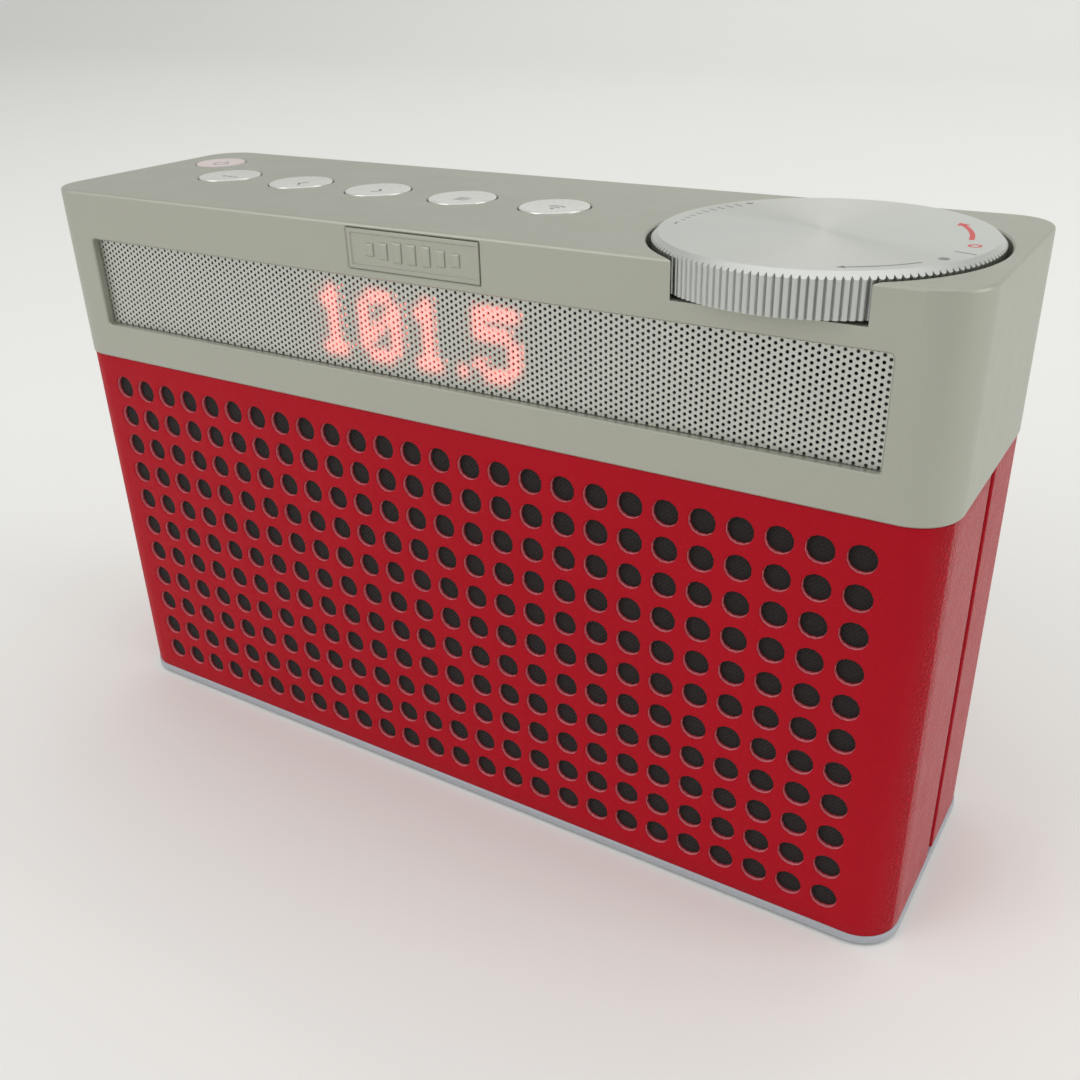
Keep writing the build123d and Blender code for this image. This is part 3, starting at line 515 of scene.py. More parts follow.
def metalFinish(name, base, roughness=0.3, marks=900.0, depth=0.00001, shift=0.05):
    material, tree, sockets = newMaterial(name, Metallic=1.0)
    tone = effect(tree, "tone", Color=base, Shift=shift, Scale=50.0, Roughness=roughness, Rough_Shift=0.08)
    grains = effect(tree, "speck", Scale=marks, Cut=0.64)
    colourFrom(tree, sockets, tone["Color"], tone)
    bumpFrom(tree, sockets, grains["Height"], 0.35, depth)
    return material


def clothFinish(name, base, thread, pitch, sheen=0.35, depth=0.00012):
    material, tree, sockets = newMaterial(name, Sheen_Weight=sheen, Sheen_Roughness=0.5)
    weave = effect(tree, "weave", Pitch=pitch)
    fibres = effect(tree, "speck", Scale=5000.0, Cut=0.55)
    tone = effect(tree, "tone", Color=base, Shift=0.25, Scale=180.0, Roughness=0.85, Rough_Shift=0.06)
    lit = blendColours(tree, times(tree, weave["Height"], 0.6), tone["Color"], thread)
    fuzzy = blendColours(tree, times(tree, fibres["Mask"], 0.5), lit, thread)
    colourFrom(tree, sockets, fuzzy, tone)
    both = sum2(tree, "ADD", weave["Height"], times(tree, fibres["Height"], 0.4))
    bumpFrom(tree, sockets, both, 1.0, depth)
    return material


def meshFinish():
    # bare stamped sheet, with a painted glow where the figures stand behind it, standing in for their light
    # showing through
    material, tree, sockets = newMaterial("speakerMesh", Metallic=0.85, Emission_Strength=1.0)
    tone = effect(tree, "tone", Color=(0.56, 0.565, 0.52, 1), Shift=0.06, Scale=160.0, Roughness=0.46,
                  Rough_Shift=0.12)
    grains = effect(tree, "speck", Scale=3500.0, Cut=0.6)
    colourFrom(tree, sockets, tone["Color"], tone)
    glow = put(tree, "ShaderNodeAttribute", attribute_name="glow").outputs["Fac"]
    tree.links.new(blendColours(tree, glow, (0, 0, 0, 1), (1.0, 0.16, 0.14, 1)), sockets["Emission Color"])
    bumpFrom(tree, sockets, grains["Height"], 0.4, 0.00001)
    return material


def dialFinish():
    # turned and anodised, with the light drawn out along the rings
    middle = centreOf("dial_knob")
    material, tree, sockets = newMaterial("turnedDial", Metallic=1.0, Anisotropic=0.85)
    rings = effect(tree, "spun", Axis_X=middle[0], Axis_Y=middle[1], Fineness=5200.0)
    tone = effect(tree, "tone", Color=(0.70, 0.72, 0.69, 1), Shift=0.03, Scale=60.0, Roughness=0.30,
                  Rough_Shift=0.04)
    ringTone = blendColours(tree, times(tree, rings["Height"], 0.25), tone["Color"], (0.6, 0.61, 0.59, 1))
    # painted shade: faces that turn away from straight up, the knurled side, take a darker colour than the
    # turned top
    upward = put(tree, "ShaderNodeMapRange", {0: facing(tree)["Z"], 1: 0.1, 2: 0.6}).outputs[0]
    sidesShaded = blendColours(tree, upward, (0.56, 0.575, 0.56, 1), ringTone)
    colourFrom(tree, sockets, sidesShaded, tone)
    around = put(tree, "ShaderNodeTangent", direction_type="RADIAL", axis="Z")
    tree.links.new(around.outputs[0], sockets["Tangent"])
    bumpFrom(tree, sockets, rings["Height"], 0.25, 0.00001)
    return material


def keyFinish():
    # satin silver caps under a clear coat
    material, tree, sockets = newMaterial("keyCap", Metallic=0.55, Coat_Weight=0.6, Coat_Roughness=0.08)
    tone = effect(tree, "tone", Color=(0.74, 0.75, 0.71, 1), Shift=0.03, Scale=90.0, Roughness=0.24,
                  Rough_Shift=0.05)
    grains = effect(tree, "speck", Scale=4200.0, Cut=0.62)
    flecked = blendColours(tree, times(tree, grains["Mask"], 0.15), tone["Color"], (0.9, 0.9, 0.88, 1))
    colourFrom(tree, sockets, flecked, tone)
    bumpFrom(tree, sockets, grains["Height"], 0.1, 0.00001)
    return material


def standbyFinish():
    # the standby cap is matt and coloured faintly pink
    return plasticFinish("standbyCap", (0.66, 0.58, 0.56, 1), 0.55, 3600.0, 0.00001, 0.08)


def smokeFinish():
    material, tree, sockets = newMaterial("smokedFilter", Alpha=0.35)
    tone = effect(tree, "tone", Color=(0.006, 0.005, 0.005, 1), Shift=0.1, Scale=40.0, Roughness=0.12)
    colourFrom(tree, sockets, tone["Color"], tone)
    return material


def glowFinish():
    material, tree, sockets = newMaterial("litFigures", Emission_Strength=6.0)
    spots = effect(tree, "tone", Color=(1.0, 0.16, 0.13, 1), Shift=0.2, Scale=700.0, Roughness=0.4)
    tree.links.new(spots["Color"], sockets["Emission Color"])
    tree.links.new(spots["Color"], sockets["Base Color"])
    return material


def boardFinish():
    # solder mask over copper tracks
    material, tree, sockets = newMaterial("circuitBoard")
    tone = effect(tree, "tone", Color=(0.012, 0.09, 0.04, 1), Shift=0.1, Scale=70.0, Roughness=0.35)
    tracks = put(tree, "ShaderNodeTexBrick",
                 {"Vector": objectPlace(tree), "Scale": 260.0, "Color1": (0, 0, 0, 1),
                  "Color2": (0.3, 0.3, 0.3, 1), "Mortar": (1, 1, 1, 1), "Mortar Size": 0.03})
    lines = times(tree, tracks.outputs["Fac"], 0.5)
    colourFrom(tree, sockets, blendColours(tree, lines, tone["Color"], (0.03, 0.20, 0.08, 1)), tone)
    bumpFrom(tree, sockets, tracks.outputs["Fac"], 0.4, 0.00003)
    return material


def coilFinish():
    material, tree, sockets = newMaterial("coilCopper", Metallic=1.0)
    turns = put(tree, "ShaderNodeTexWave", {"Vector": objectPlace(tree), "Scale": 900.0}, bands_direction="Y")
    tone = effect(tree, "tone", Color=(0.75, 0.32, 0.15, 1), Shift=0.1, Scale=90.0, Roughness=0.35)
    colourFrom(tree, sockets, tone["Color"], tone)
    bumpFrom(tree, sockets, turns.outputs["Fac"], 0.8, 0.00008)
    return material


finishes = {
    "shell_paint": paintFinish(),
    "red_leather": leatherFinish("redLeather", 0.0, 0.12),
    "black_plastic": plasticFinish("blackPlastic", (0.014, 0.014, 0.015, 1), 0.48),
    "grille_cloth": clothFinish("grilleCloth", (0.003, 0.003, 0.003, 1), (0.015, 0.012, 0.010, 1), 0.00042,
                                0.05),
    "grey_plastic": plasticFinish("baseGrey", (0.40, 0.43, 0.47, 1), 0.42, 3000.0, 0.00002, 0.05),
    "foot_rubber": plasticFinish("footRubber", (0.02, 0.02, 0.021, 1), 0.75, 1600.0, 0.00006, 0.0),
    "mesh_metal": meshFinish(),
    "smoke_filter": smokeFinish(),
    "led_block": plasticFinish("ledBlock", (0.01, 0.008, 0.008, 1), 0.4),
    "circuit_board": boardFinish(),
    "chip_black": plasticFinish("chipEpoxy", (0.018, 0.018, 0.018, 1), 0.6, 2200.0, 0.00004),
    "shield_tin": metalFinish("shieldTin", (0.72, 0.72, 0.70, 1), 0.32, 700.0),
    "badge_metal": paintFinish(),
    "key_metal": keyFinish(),
    "dial_metal": dialFinish(),
    "zinc_steel": metalFinish("zincSteel", (0.62, 0.62, 0.60, 1), 0.34, 1200.0, 0.00002),
    "ferrite": plasticFinish("ferrite", (0.03, 0.03, 0.032, 1), 0.62, 900.0, 0.0001),
    "cone_paper": plasticFinish("conePaper", (0.02, 0.019, 0.018, 1), 0.85, 1500.0, 0.00012),
    "soft_rubber": plasticFinish("softRubber", (0.018, 0.018, 0.019, 1), 0.62, 2000.0, 0.00003),
    "coil_copper": coilFinish(),
    "spider_cloth": clothFinish("spiderCloth", (0.30, 0.20, 0.08, 1), (0.50, 0.36, 0.18, 1), 0.0005),
    "cell_wrap": plasticFinish("cellWrap", (0.02, 0.10, 0.28, 1), 0.35, 1800.0, 0.00002),
    "chrome": metalFinish("chromedTube", (0.78, 0.78, 0.77, 1), 0.10, 500.0, 0.000004, 0.03),
}
sideLeather = leatherFinish("redLeatherSides", 0.28, 0.5)
standbyCap = standbyFinish()
figureGlow = glowFinish()
greyInk = plasticFinish("greyInk", (0.23, 0.24, 0.235, 1), 0.55, 3000.0, 0.000004)
redInk = plasticFinish("redInk", (0.62, 0.07, 0.07, 1), 0.5, 3000.0, 0.000004)
darkInk = plasticFinish("darkInk", (0.17, 0.17, 0.17, 1), 0.5, 3000.0, 0.000004)


def dressFrame():
    # every node kept from the frame takes the finish of its slot
    for part in frame["record"]["subparts"]:
        obj = frame["nodes"][part["node"]]
        obj.data.materials.clear()
        obj.data.materials.append(finishes[part["material_slot"]])


dressFrame()
print("stage: finishes")


# leather skins

leather = dict(
    pitchX=6.36 * mm, pitchZ=6.54 * mm, columns=26, rows=11, gridX=0.24 * mm, gridZ=40.9 * mm,
    holeR=2.35 * mm, lip=0.26 * mm, thick=1.0 * mm, cornerR=7.25 * mm, rollR=0.5 * mm,
    grooveDepth=0.8 * mm, grooveHalf=1.4 * mm,
    grooveThick=0.18, seam=0.1 * mm, sideFrom=88 * mm, edgeSoft=0.2 * mm, cornerSteps=14,
    rollSteps=5, squareIn=0.12, gap=0.1 * mm, easeL=1.0 * mm)


def punchedPanel(y):
    # one square of leather with its hole, repeated over the grille
    wide, high = leather["pitchX"], leather["pitchZ"]
    firstX = leather["gridX"] - wide * (leather["columns"] - 1) / 2
    firstZ = leather["gridZ"] - high * (leather["rows"] - 1) / 2
    bpy.ops.mesh.primitive_plane_add(size=1, location=(firstX, y, firstZ), rotation=(pi / 2, 0, 0))
    bpy.context.object.scale = (wide, high, 1)
    tile = placed("frontLeather")
    editing(tile, True)
    bpy.ops.mesh.subdivide(number_cuts=4)
    bpy.ops.mesh.dissolve_faces()
    bpy.ops.mesh.inset(thickness=wide * leather["squareIn"])
    work = bmesh.from_edit_mesh(tile.data)
    centre = Vector((firstX, y, firstZ))
    for vert in work.verts:
        if vert.select:
            vert.co = centre + (vert.co - centre).normalized() * leather["holeR"]
    bmesh.update_edit_mesh(tile.data)
    bpy.ops.mesh.delete(type="FACE")
    done()
    repeated(tile, leather["columns"], (wide, 0, 0))
    repeated(tile, leather["rows"], (0, 0, high))
    editing(tile, True)
    bpy.ops.mesh.remove_doubles(threshold=0.00001)
    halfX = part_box("front_leather")[1][0] - leather["cornerR"]
    bottom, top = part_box("front_leather")[0][2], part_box("front_leather")[1][2]
    left, right = firstX - wide / 2, firstX + wide * (leather["columns"] - 0.5)
    low, high2 = firstZ - high / 2, firstZ + high * (leather["rows"] - 0.5)
    for axis, here, there in ((0, left, -halfX), (0, right, halfX), (2, low, bottom), (2, high2, top)):
        pick("edges", lambda e: onLine(e, axis, here))
        pull(*along(axis, there - here))
    done()
    return tile


def plainPanel(y):
    # back panel with the opening for the socket plate
    low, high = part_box("rear_leather")
    halfX = high[0] - leather["cornerR"]
    bpy.ops.mesh.primitive_plane_add(size=1, location=(0, y, (low[2] + high[2]) / 2),
                                     rotation=(-pi / 2, 0, 0))
    bpy.context.object.scale = (2 * halfX, high[2] - low[2], 1)
    panel = placed("rearLeather")
    gap = leather["gap"]
    x0, x1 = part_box("port_plate")[0][0] - gap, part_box("port_plate")[1][0] + gap
    z0, z1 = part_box("port_plate")[0][2] - gap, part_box("port_plate")[1][2] + gap
    editing(panel)
    for axis, value in ((0, x0), (0, x1), (2, z0), (2, z1)):
        everything()
        bpy.ops.mesh.bisect(plane_co=along(axis, value), plane_no=along(axis))
    pick("faces", lambda f: x0 < f.calc_center_median().x < x1 and z0 < f.calc_center_median().z < z1)
    bpy.ops.mesh.delete(type="FACE")
    done()
    return panel


def wrapRound(panel, y, seamY, toward):
    # the panel's ends turn the corners, run along the sides and roll into the groove
    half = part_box("front_leather")[1][0]
    radius, roll = leather["cornerR"], leather["rollR"]
    grooveY = seamY + toward * leather["seam"] / 2
    lipY = grooveY - toward * leather["grooveHalf"]
    editing(panel)
    for side in (-1, 1):
        turn = -pi / 2 * side * toward  # spin turns clockwise seen from above
        pick("edges", lambda e: onLine(e, 0, side * (half - radius)) and onLine(e, 1, y))
        bpy.ops.mesh.spin(steps=leather["cornerSteps"], angle=turn, axis=(0, 0, 1),
                          center=(side * (half - radius), y + toward * radius, 0))
        runEnd = lipY - toward * roll
        ease = toward * leather["easeL"]
        for step in (runEnd - ease - (y + toward * radius), ease):
            pull(0, step, 0)
        bpy.ops.mesh.spin(steps=leather["rollSteps"], angle=turn, axis=(0, 0, 1),
                          center=(side * (half - roll), runEnd, 0))
        pull(-side * (leather["grooveDepth"] - roll), 0, 0)
        pull(0, seamY - lipY, 0)
    done()
    thin = panel.vertex_groups.new(name="thin")
    for vert in panel.data.vertices:
        past = (vert.co.y - (lipY - toward * (roll + 0.1 * mm))) * toward > 0
        thin.add([vert.index], leather["grooveThick"] if past else 1.0, "REPLACE")
    panel.vertex_groups.new(name="inner")
    return panel


def thicken(panel, toward):
    tidyMesh(panel)
    front = min(panel.data.polygons, key=lambda f: f.center.y * toward)
    if front.normal.y * toward > 0:
        flipped(panel)
    finishWith(panel, "SOLIDIFY", thickness=leather["thick"], offset=-1, vertex_group="thin",
               shell_vertex_group="inner", use_even_offset=False)


def softenEdges(panel, y):
    # the punched holes get rounded lips, and the long edges are eased
    inner = panel.vertex_groups["inner"].index
    outside = {v.index for v in panel.data.vertices if not any(g.group == inner for g in v.groups)}
    low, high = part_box("front_leather")[0][2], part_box("front_leather")[1][2]
    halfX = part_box("front_leather")[1][0] - leather["cornerR"]

    def rim(edge):
        if not all(v.index in outside and near(v.co.y, y) and abs(v.co.x) < halfX for v in edge.verts):
            return False
        return any(abs(f.normal.y) < 0.5 for f in edge.link_faces) and not border(edge)

    def border(edge):
        return all(v.index in outside for v in edge.verts) and (onLine(edge, 2, low) or onLine(edge, 2, high))

    editing(panel)
    pick("edges", border)
    bpy.ops.mesh.bevel(offset=leather["edgeSoft"], segments=2, affect="EDGES")
    pick("edges", rim)
    bpy.ops.mesh.bevel(offset=leather["lip"], segments=3, affect="EDGES")
    done()
    # marks the lip verts round each hole for the pale pink colour: cut edge plus painted highlight
    marks = panel.data.attributes.new("cutRimHighlight", "FLOAT", "POINT")
    for vert in panel.data.vertices:
        inset = abs(vert.co.y - y)
        column = (vert.co.x - leather["gridX"]) / leather["pitchX"] + (leather["columns"] - 1) / 2
        row = (vert.co.z - leather["gridZ"]) / leather["pitchZ"] + (leather["rows"] - 1) / 2
        nearColumn = min(max(round(column), 0), leather["columns"] - 1)
        nearRow = min(max(round(row), 0), leather["rows"] - 1)
        gap = hypot((column - nearColumn) * leather["pitchX"], (row - nearRow) * leather["pitchZ"])
        inHole = gap < leather["holeR"] + 0.02 * mm and abs(vert.co.x) < halfX
        marks.data[vert.index].value = 1.0 if inHole and inset < leather["lip"] * 1.2 else 0.0
    smooth(panel, 50)


def makeLeather():
    for node, body, toward, panelMaker in (
            ("front_leather", "case", 1, punchedPanel), ("rear_leather", "case", -1, plainPanel)):
        low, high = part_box(node)
        y, seamY = (low[1], high[1]) if toward > 0 else (high[1], low[1])
        panel = panelMaker(y)
        wrapRound(panel, y, seamY, toward)
        thicken(panel, toward)
        softenEdges(panel, y)
        give(panel, body, finishes["red_leather"])
        panel.data.materials.append(sideLeather)
        for face in panel.data.polygons:
            onSide = abs(face.normal.y) < 0.3 and abs(face.center.x) > leather["sideFrom"]
            face.material_index = 1 if onSide else 0
        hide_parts(node)
        print("piece:", panel.name, len(panel.data.polygons), "faces")


makeLeather()


# cloth behind the grille

cloth = dict(cellsX=120, cellsZ=52, thick=0.25 * mm, sag=0.02 * mm)


def makeCloth():
    low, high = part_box("grille_cloth")
    wide, tall = high[0] - low[0], high[2] - low[2]
    middle = ((low[0] + high[0]) / 2, (low[1] + high[1]) / 2, (low[2] + high[2]) / 2)
    nothingSelected()
    bpy.ops.mesh.primitive_grid_add(x_subdivisions=cloth["cellsX"], y_subdivisions=cloth["cellsZ"], size=1,
                                    location=middle, rotation=(pi / 2, 0, 0))
    bpy.context.object.scale = (wide, tall, 1)
    sheet = placed("speakerCloth")
    for vert in sheet.data.vertices:
        # pulled tight, but breathing a little between its glued edges
        u, v = (vert.co.x - low[0]) / wide, (vert.co.z - low[2]) / tall
        vert.co.y += cloth["sag"] * sin(pi * u) * sin(pi * v) * cos(9 * pi * u) * cos(4 * pi * v)
    finishWith(sheet, "SOLIDIFY", thickness=cloth["thick"], offset=0)
    smooth(sheet)
    give(sheet, "case", finishes["grille_cloth"])
    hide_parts("grille_cloth")
    print("piece:", sheet.name)


makeCloth()


# perforated sheet over the display, and the figures behind it

perforated = dict(pitch=1.05 * mm, holeR=0.285 * mm, thick=0.3 * mm, holeSides=12, merge=0.008 * mm)
figures = dict(text="101.5", pitch=1.75 * mm, dotR=0.62 * mm, proud=0.05 * mm, startX=-22.4 * mm,
               halo=2.6 * mm, haloStrength=0.85)
dotRows = {
    "0": "01110 10001 10011 10101 11001 10001 01110", "1": "00100 01100 00100 00100 00100 00100 01110",
    "5": "11111 10000 11110 00001 00001 10001 01110", ".": "0 0 0 0 0 0 1",
}


def litDots():
    # centres of the lit dots, left to right
    step = figures["pitch"]
    x, middleZ = figures["startX"], centreOf("led_matrix")[2]
    dots = []
    for sign in figures["text"]:
        rows = dotRows[sign].split()
        for down, row in enumerate(rows):
            for across, lit in enumerate(row):
                if lit == "1":
                    dots.append((x + across * step, middleZ + (3 - down) * step))
        x += (len(rows[0]) + 1) * step
    return dots


def makePerforated():
    low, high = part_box("display_mesh")
    pitch, holeR = perforated["pitch"], perforated["holeR"]
    corner = pitch / sqrt(3)
    columns = int((high[0] - low[0]) / (corner * 1.5)) + 4
    rows = int((high[2] - low[2]) / pitch) + 4
    nothingSelected()
    start = (low[0] - corner * 1.5, low[1], low[2] - pitch * 1.2)
    bpy.ops.mesh.primitive_circle_add(vertices=perforated["holeSides"], radius=holeR, location=start,
                                      rotation=(pi / 2, 0, 0))
    sheet = placed("displayMesh")
    editing(sheet, True)
    bpy.ops.mesh.extrude_edges_move(TRANSFORM_OT_translate={"value": (0, 0, 0)})
    stretch(start, corner / holeR, 1, corner / holeR)
    centre = Vector(start)

    def sideways(vert):
        # the outer ring's verts that stand in the middle of a side of the six-sided cell
        if (vert.co - centre).length < corner * 0.95:
            return False
        angle = degrees(atan2(vert.co.z - centre.z, vert.co.x - centre.x)) % 60
        return abs(angle - 30) < 5

    pick("verts", sideways)
    stretch(start, cos(pi / 6), 1, cos(pi / 6))
    pick("verts", lambda v: abs((v.co - centre).length - corner * cos(pi / 6)) < 0.01 * mm)
    bpy.ops.mesh.dissolve_verts()
    done()
    moves = ((rows, (0, 0, pitch)), (2, (corner * 1.5, 0, pitch / 2)), (columns // 2, (corner * 3, 0, 0)))
    for count, move in moves:
        repeated(sheet, count, move, use_merge_vertices=True, merge_threshold=perforated["merge"])
    tidyMesh(sheet, perforated["merge"])
    editing(sheet)
    for axis, value, way in ((0, low[0], -1), (0, high[0], 1), (2, low[2], -1), (2, high[2], 1)):
        everything()
        bpy.ops.mesh.bisect(plane_co=along(axis, value), plane_no=along(axis, way), clear_outer=True)
    done()
    if sheet.data.polygons[0].normal.y > 0:
        flipped(sheet)
    finishWith(sheet, "SOLIDIFY", thickness=perforated["thick"], offset=-1, use_even_offset=False)
    dots = litDots()
    reach = figures["halo"]
    # painted glow: emission on the sheet itself, strongest round each lit dot and fading over the halo reach
    glow = sheet.data.attributes.new("glow", "FLOAT", "POINT")
    left, right = dots[0][0] - 4 * reach, dots[-1][0] + 4 * reach
    for vert in sheet.data.vertices:
        if left < vert.co.x < right:
            total = sum(max(0.0, 1 - hypot(vert.co.x - x, vert.co.z - z) / reach) ** 2 for x, z in dots)
            glow.data[vert.index].value = min(1.0, total) * figures["haloStrength"]
    give(sheet, "case", finishes["mesh_metal"])
    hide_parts("display_mesh")
    print("piece:", sheet.name, len(sheet.data.polygons), "faces")


def makeFigures():
    # one round dot, copied to every lit place
    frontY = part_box("led_matrix")[0][1]
    dots = litDots()
    nothingSelected()
    start = (dots[0][0], frontY, dots[0][1])
    bpy.ops.mesh.primitive_circle_add(vertices=16, radius=figures["dotR"], fill_type="NGON", location=start,
                                      rotation=(pi / 2, 0, 0))
    dot = placed("displayFigures")
    editing(dot, True)
    pull(0, -figures["proud"] * 0.6, 0)
    bpy.ops.mesh.inset(thickness=figures["dotR"] * 0.3)
    slide(0, -figures["proud"] * 0.4, 0)
    done()
    copies = [copyAt(dot, "dot", (x - dots[0][0], 0, z - dots[0][1])) for x, z in dots[1:]]
    whole = joined("displayFigures", [dot] + copies)
    tidyMesh(whole, 0.000001)
    give(whole, "case", figureGlow)
    print("piece:", whole.name, len(dots), "dots")


makePerforated()
makeFigures()


# badge: a framed plate with plain bars

badge = dict(frameW=0.55 * mm, panelDrop=0.22 * mm, soft=0.12 * mm, barW=1.7 * mm, barRise=0.21 * mm,
             span=19.4 * mm, heights=(2.2, 2.8, 3.4, 3.4, 3.4, 2.8, 2.2))


def makeBadge():
    low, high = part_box("badge")
    nothingSelected()
    bpy.ops.mesh.primitive_cube_add(size=1, location=centreOf("badge"))
    bpy.context.object.scale = [b - a for a, b in zip(low, high)]
    plate = placed("badgePlate")
    editing(plate)
    pick("edges", lambda e: onLine(e, 1, low[1]))
    bpy.ops.mesh.bevel(offset=badge["soft"], segments=2, affect="EDGES")
    pick("faces", lambda f: f.normal.y < -0.9 and near(f.calc_center_median().y, low[1]))
    bpy.ops.mesh.inset(thickness=badge["frameW"])
    bpy.ops.mesh.inset(thickness=badge["panelDrop"] * 0.8)
    slide(0, badge["panelDrop"], 0)
    done()
    smooth(plate)
    floorY = low[1] + badge["panelDrop"]
    count = len(badge["heights"])
    step = (badge["span"] - badge["barW"]) / (count - 1)
    middle = centreOf("badge")
    firstX = middle[0] - step * (count - 1) / 2
    start = (firstX, floorY, middle[2])
    nothingSelected()
    bpy.ops.mesh.primitive_cube_add(size=1, location=start)
    bpy.context.object.scale = (badge["barW"], 2 * badge["barRise"], 1 * mm)
    bar = placed("badgeBars")
    editing(bar)
    pick("edges", lambda e: onLine(e, 1, floorY - badge["barRise"]))
    bpy.ops.mesh.bevel(offset=badge["soft"], segments=2, affect="EDGES")
    done()
    smooth(bar)
    bars = []
    for place, height in enumerate(badge["heights"]):
        bars.append(copyAt(bar, "bar", (place * step, 0, 0), (1, 1, height), start))
    bpy.data.objects.remove(bar)
    whole = joined("badgePlate", [plate] + bars)
    give(whole, "case", finishes["badge_metal"])
    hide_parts("badge")
    print("piece:", whole.name)


makeBadge()


# flat marks: bars, arcs and arrow heads

def markBar(x, y, z, length, width, angle):
    nothingSelected()
    bpy.ops.mesh.primitive_plane_add(size=1, location=(x, y, z), rotation=(0, 0, radians(angle)))
    bpy.context.object.scale = (length, width, 1)
    bar = placed("mark")
    editing(bar, True)
    bpy.ops.mesh.subdivide(number_cuts=3)
    done()
    return bar


def markArc(x, y, z, radius, width, first, last, steps=24):
    # a short edge swept round the centre
    nothingSelected()
    a = radians(first)
    bpy.ops.mesh.primitive_plane_add(size=1, location=(x + radius * cos(a), y + radius * sin(a), z),
                                     rotation=(0, 0, a))
    bpy.context.object.scale = (width, 0.01 * mm, 1)
    strip = placed("mark")
    editing(strip)
    ahead = Vector((-sin(a), cos(a), 0)) * (1 if last > first else -1)
    middle = Vector((x + radius * cos(a), y + radius * sin(a), z))
    pick("edges", lambda e: ((e.verts[0].co + e.verts[1].co) / 2 - middle).dot(ahead) > 0.003 * mm)
    bpy.ops.mesh.spin(steps=steps, angle=radians(first - last), axis=(0, 0, 1), center=(x, y, z))
    done()
    return strip


def markHead(x, y, z, size, angle):
    # a triangle whose tip points along the angle
    nothingSelected()
    bpy.ops.mesh.primitive_circle_add(vertices=3, radius=size, fill_type="NGON", location=(x, y, z),
                                      rotation=(0, 0, radians(angle - 90)))
    head = placed("mark")
    editing(head, True)
    bpy.ops.mesh.poke()
    bpy.ops.mesh.subdivide(number_cuts=1)
    done()
    return head


def faceUp(obj):
    if sum(f.normal.z for f in obj.data.polygons) < 0:
        flipped(obj)


def printed(name, marks, body, ink, thick, onto=None):
    # one thin inlay from several marks, laid on a curved cap where one is given
    for mark in marks:
        faceUp(mark)
    whole = joined(name, marks)
    if onto:
        finishWith(whole, "SHRINKWRAP", target=onto, wrap_method="PROJECT", use_project_z=True,
                   use_negative_direction=True, use_positive_direction=False, offset=0.01 * mm)
    finishWith(whole, "SOLIDIFY", thickness=thick, offset=-1)
    give(whole, body, ink)
    return whole


# keys

keys = dict(capH=2.8 * mm, flange=0.8 * mm, flangeT=0.8 * mm, stemR=1.6 * mm, dish=0.35 * mm, edge=0.32 * mm,
            sides=72, rings=7, inkT=0.012 * mm, stroke=0.42 * mm, signLift=0.5 * mm)


def makeCap(node):
    low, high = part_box(node)
    x, y, _ = centreOf(node)
    radius = (high[0] - low[0]) / 2 - keys["flange"]
    nothingSelected()
    bpy.ops.mesh.primitive_cylinder_add(vertices=keys["sides"], radius=radius, depth=keys["capH"],
                                        location=(x, y, high[2] - keys["capH"] / 2))
    cap = placed("".join([node.split("_")[0], "Cap"]))
    flangeTop = high[2] - keys["capH"]
    editing(cap)
    pick("faces", lambda f: f.normal.z < -0.9)
    pull(0, 0, 0)
    wider = (radius + keys["flange"]) / radius
    stretch((x, y, flangeTop), wider, wider, 1)
    pull(0, 0, -keys["flangeT"])
    bpy.ops.mesh.inset(thickness=radius + keys["flange"] - keys["stemR"])
    pull(0, 0, low[2] - flangeTop + keys["flangeT"])
    pick("edges", lambda e: onLine(e, 2, high[2]))
    bpy.ops.mesh.bevel(offset=keys["edge"], segments=4, affect="EDGES")
    pick("faces", lambda f: f.normal.z > 0.9 and near(f.calc_center_median().z, high[2]) and len(f.verts) > 8)
    bowlR = radius - keys["edge"]
    ringW = bowlR / (keys["rings"] + 0.5)
    for ring in range(keys["rings"]):
        outer, inner = bowlR - ring * ringW, bowlR - (ring + 1) * ringW
        bpy.ops.mesh.inset(thickness=ringW)
        slide(0, 0, -keys["dish"] * (outer ** 2 - inner ** 2) / bowlR ** 2)
    bpy.ops.mesh.poke()
    done()
    smooth(cap, 40)
    return cap, x, y, high[2]


def presetSign(x, y, z):
    # three stored places
    return [markArc(x + dx * mm, y, z, 0.35 * mm, 0.3 * mm, 0, 360, 12) for dx in (-1.5, 0, 1.5)]


def skipSign(x, y, z, way):
    # a single chevron that points the way
    arm, lean = 2.1 * mm, 35
    return [markBar(x, y + side * arm * 0.28, z, arm, keys["stroke"], (90 + side * lean) if way > 0 else
                    (90 - side * lean)) for side in (-1, 1)]


def menuSign(x, y, z):
    return [markBar(x, y + dy * mm, z, 2.8 * mm, keys["stroke"] * 0.8, 0) for dy in (-0.95, 0, 0.95)]


def airSign(x, y, z):
    # a dot with two spreading waves
    waves = [markArc(x, y - 0.9 * mm, z, r * mm, keys["stroke"] * 0.8, 45, 135, 10) for r in (1.3, 2.3)]
    return waves + [markArc(x, y - 0.9 * mm, z, 0.2 * mm, 0.38 * mm, 0, 360, 12)]


def standbySign(x, y, z):
    return [markArc(x, y, z, 1.5 * mm, keys["stroke"] * 0.8, 120, 420, 24),
            markBar(x, y + 1.5 * mm, z, 1.5 * mm, keys["stroke"] * 0.8, 90)]


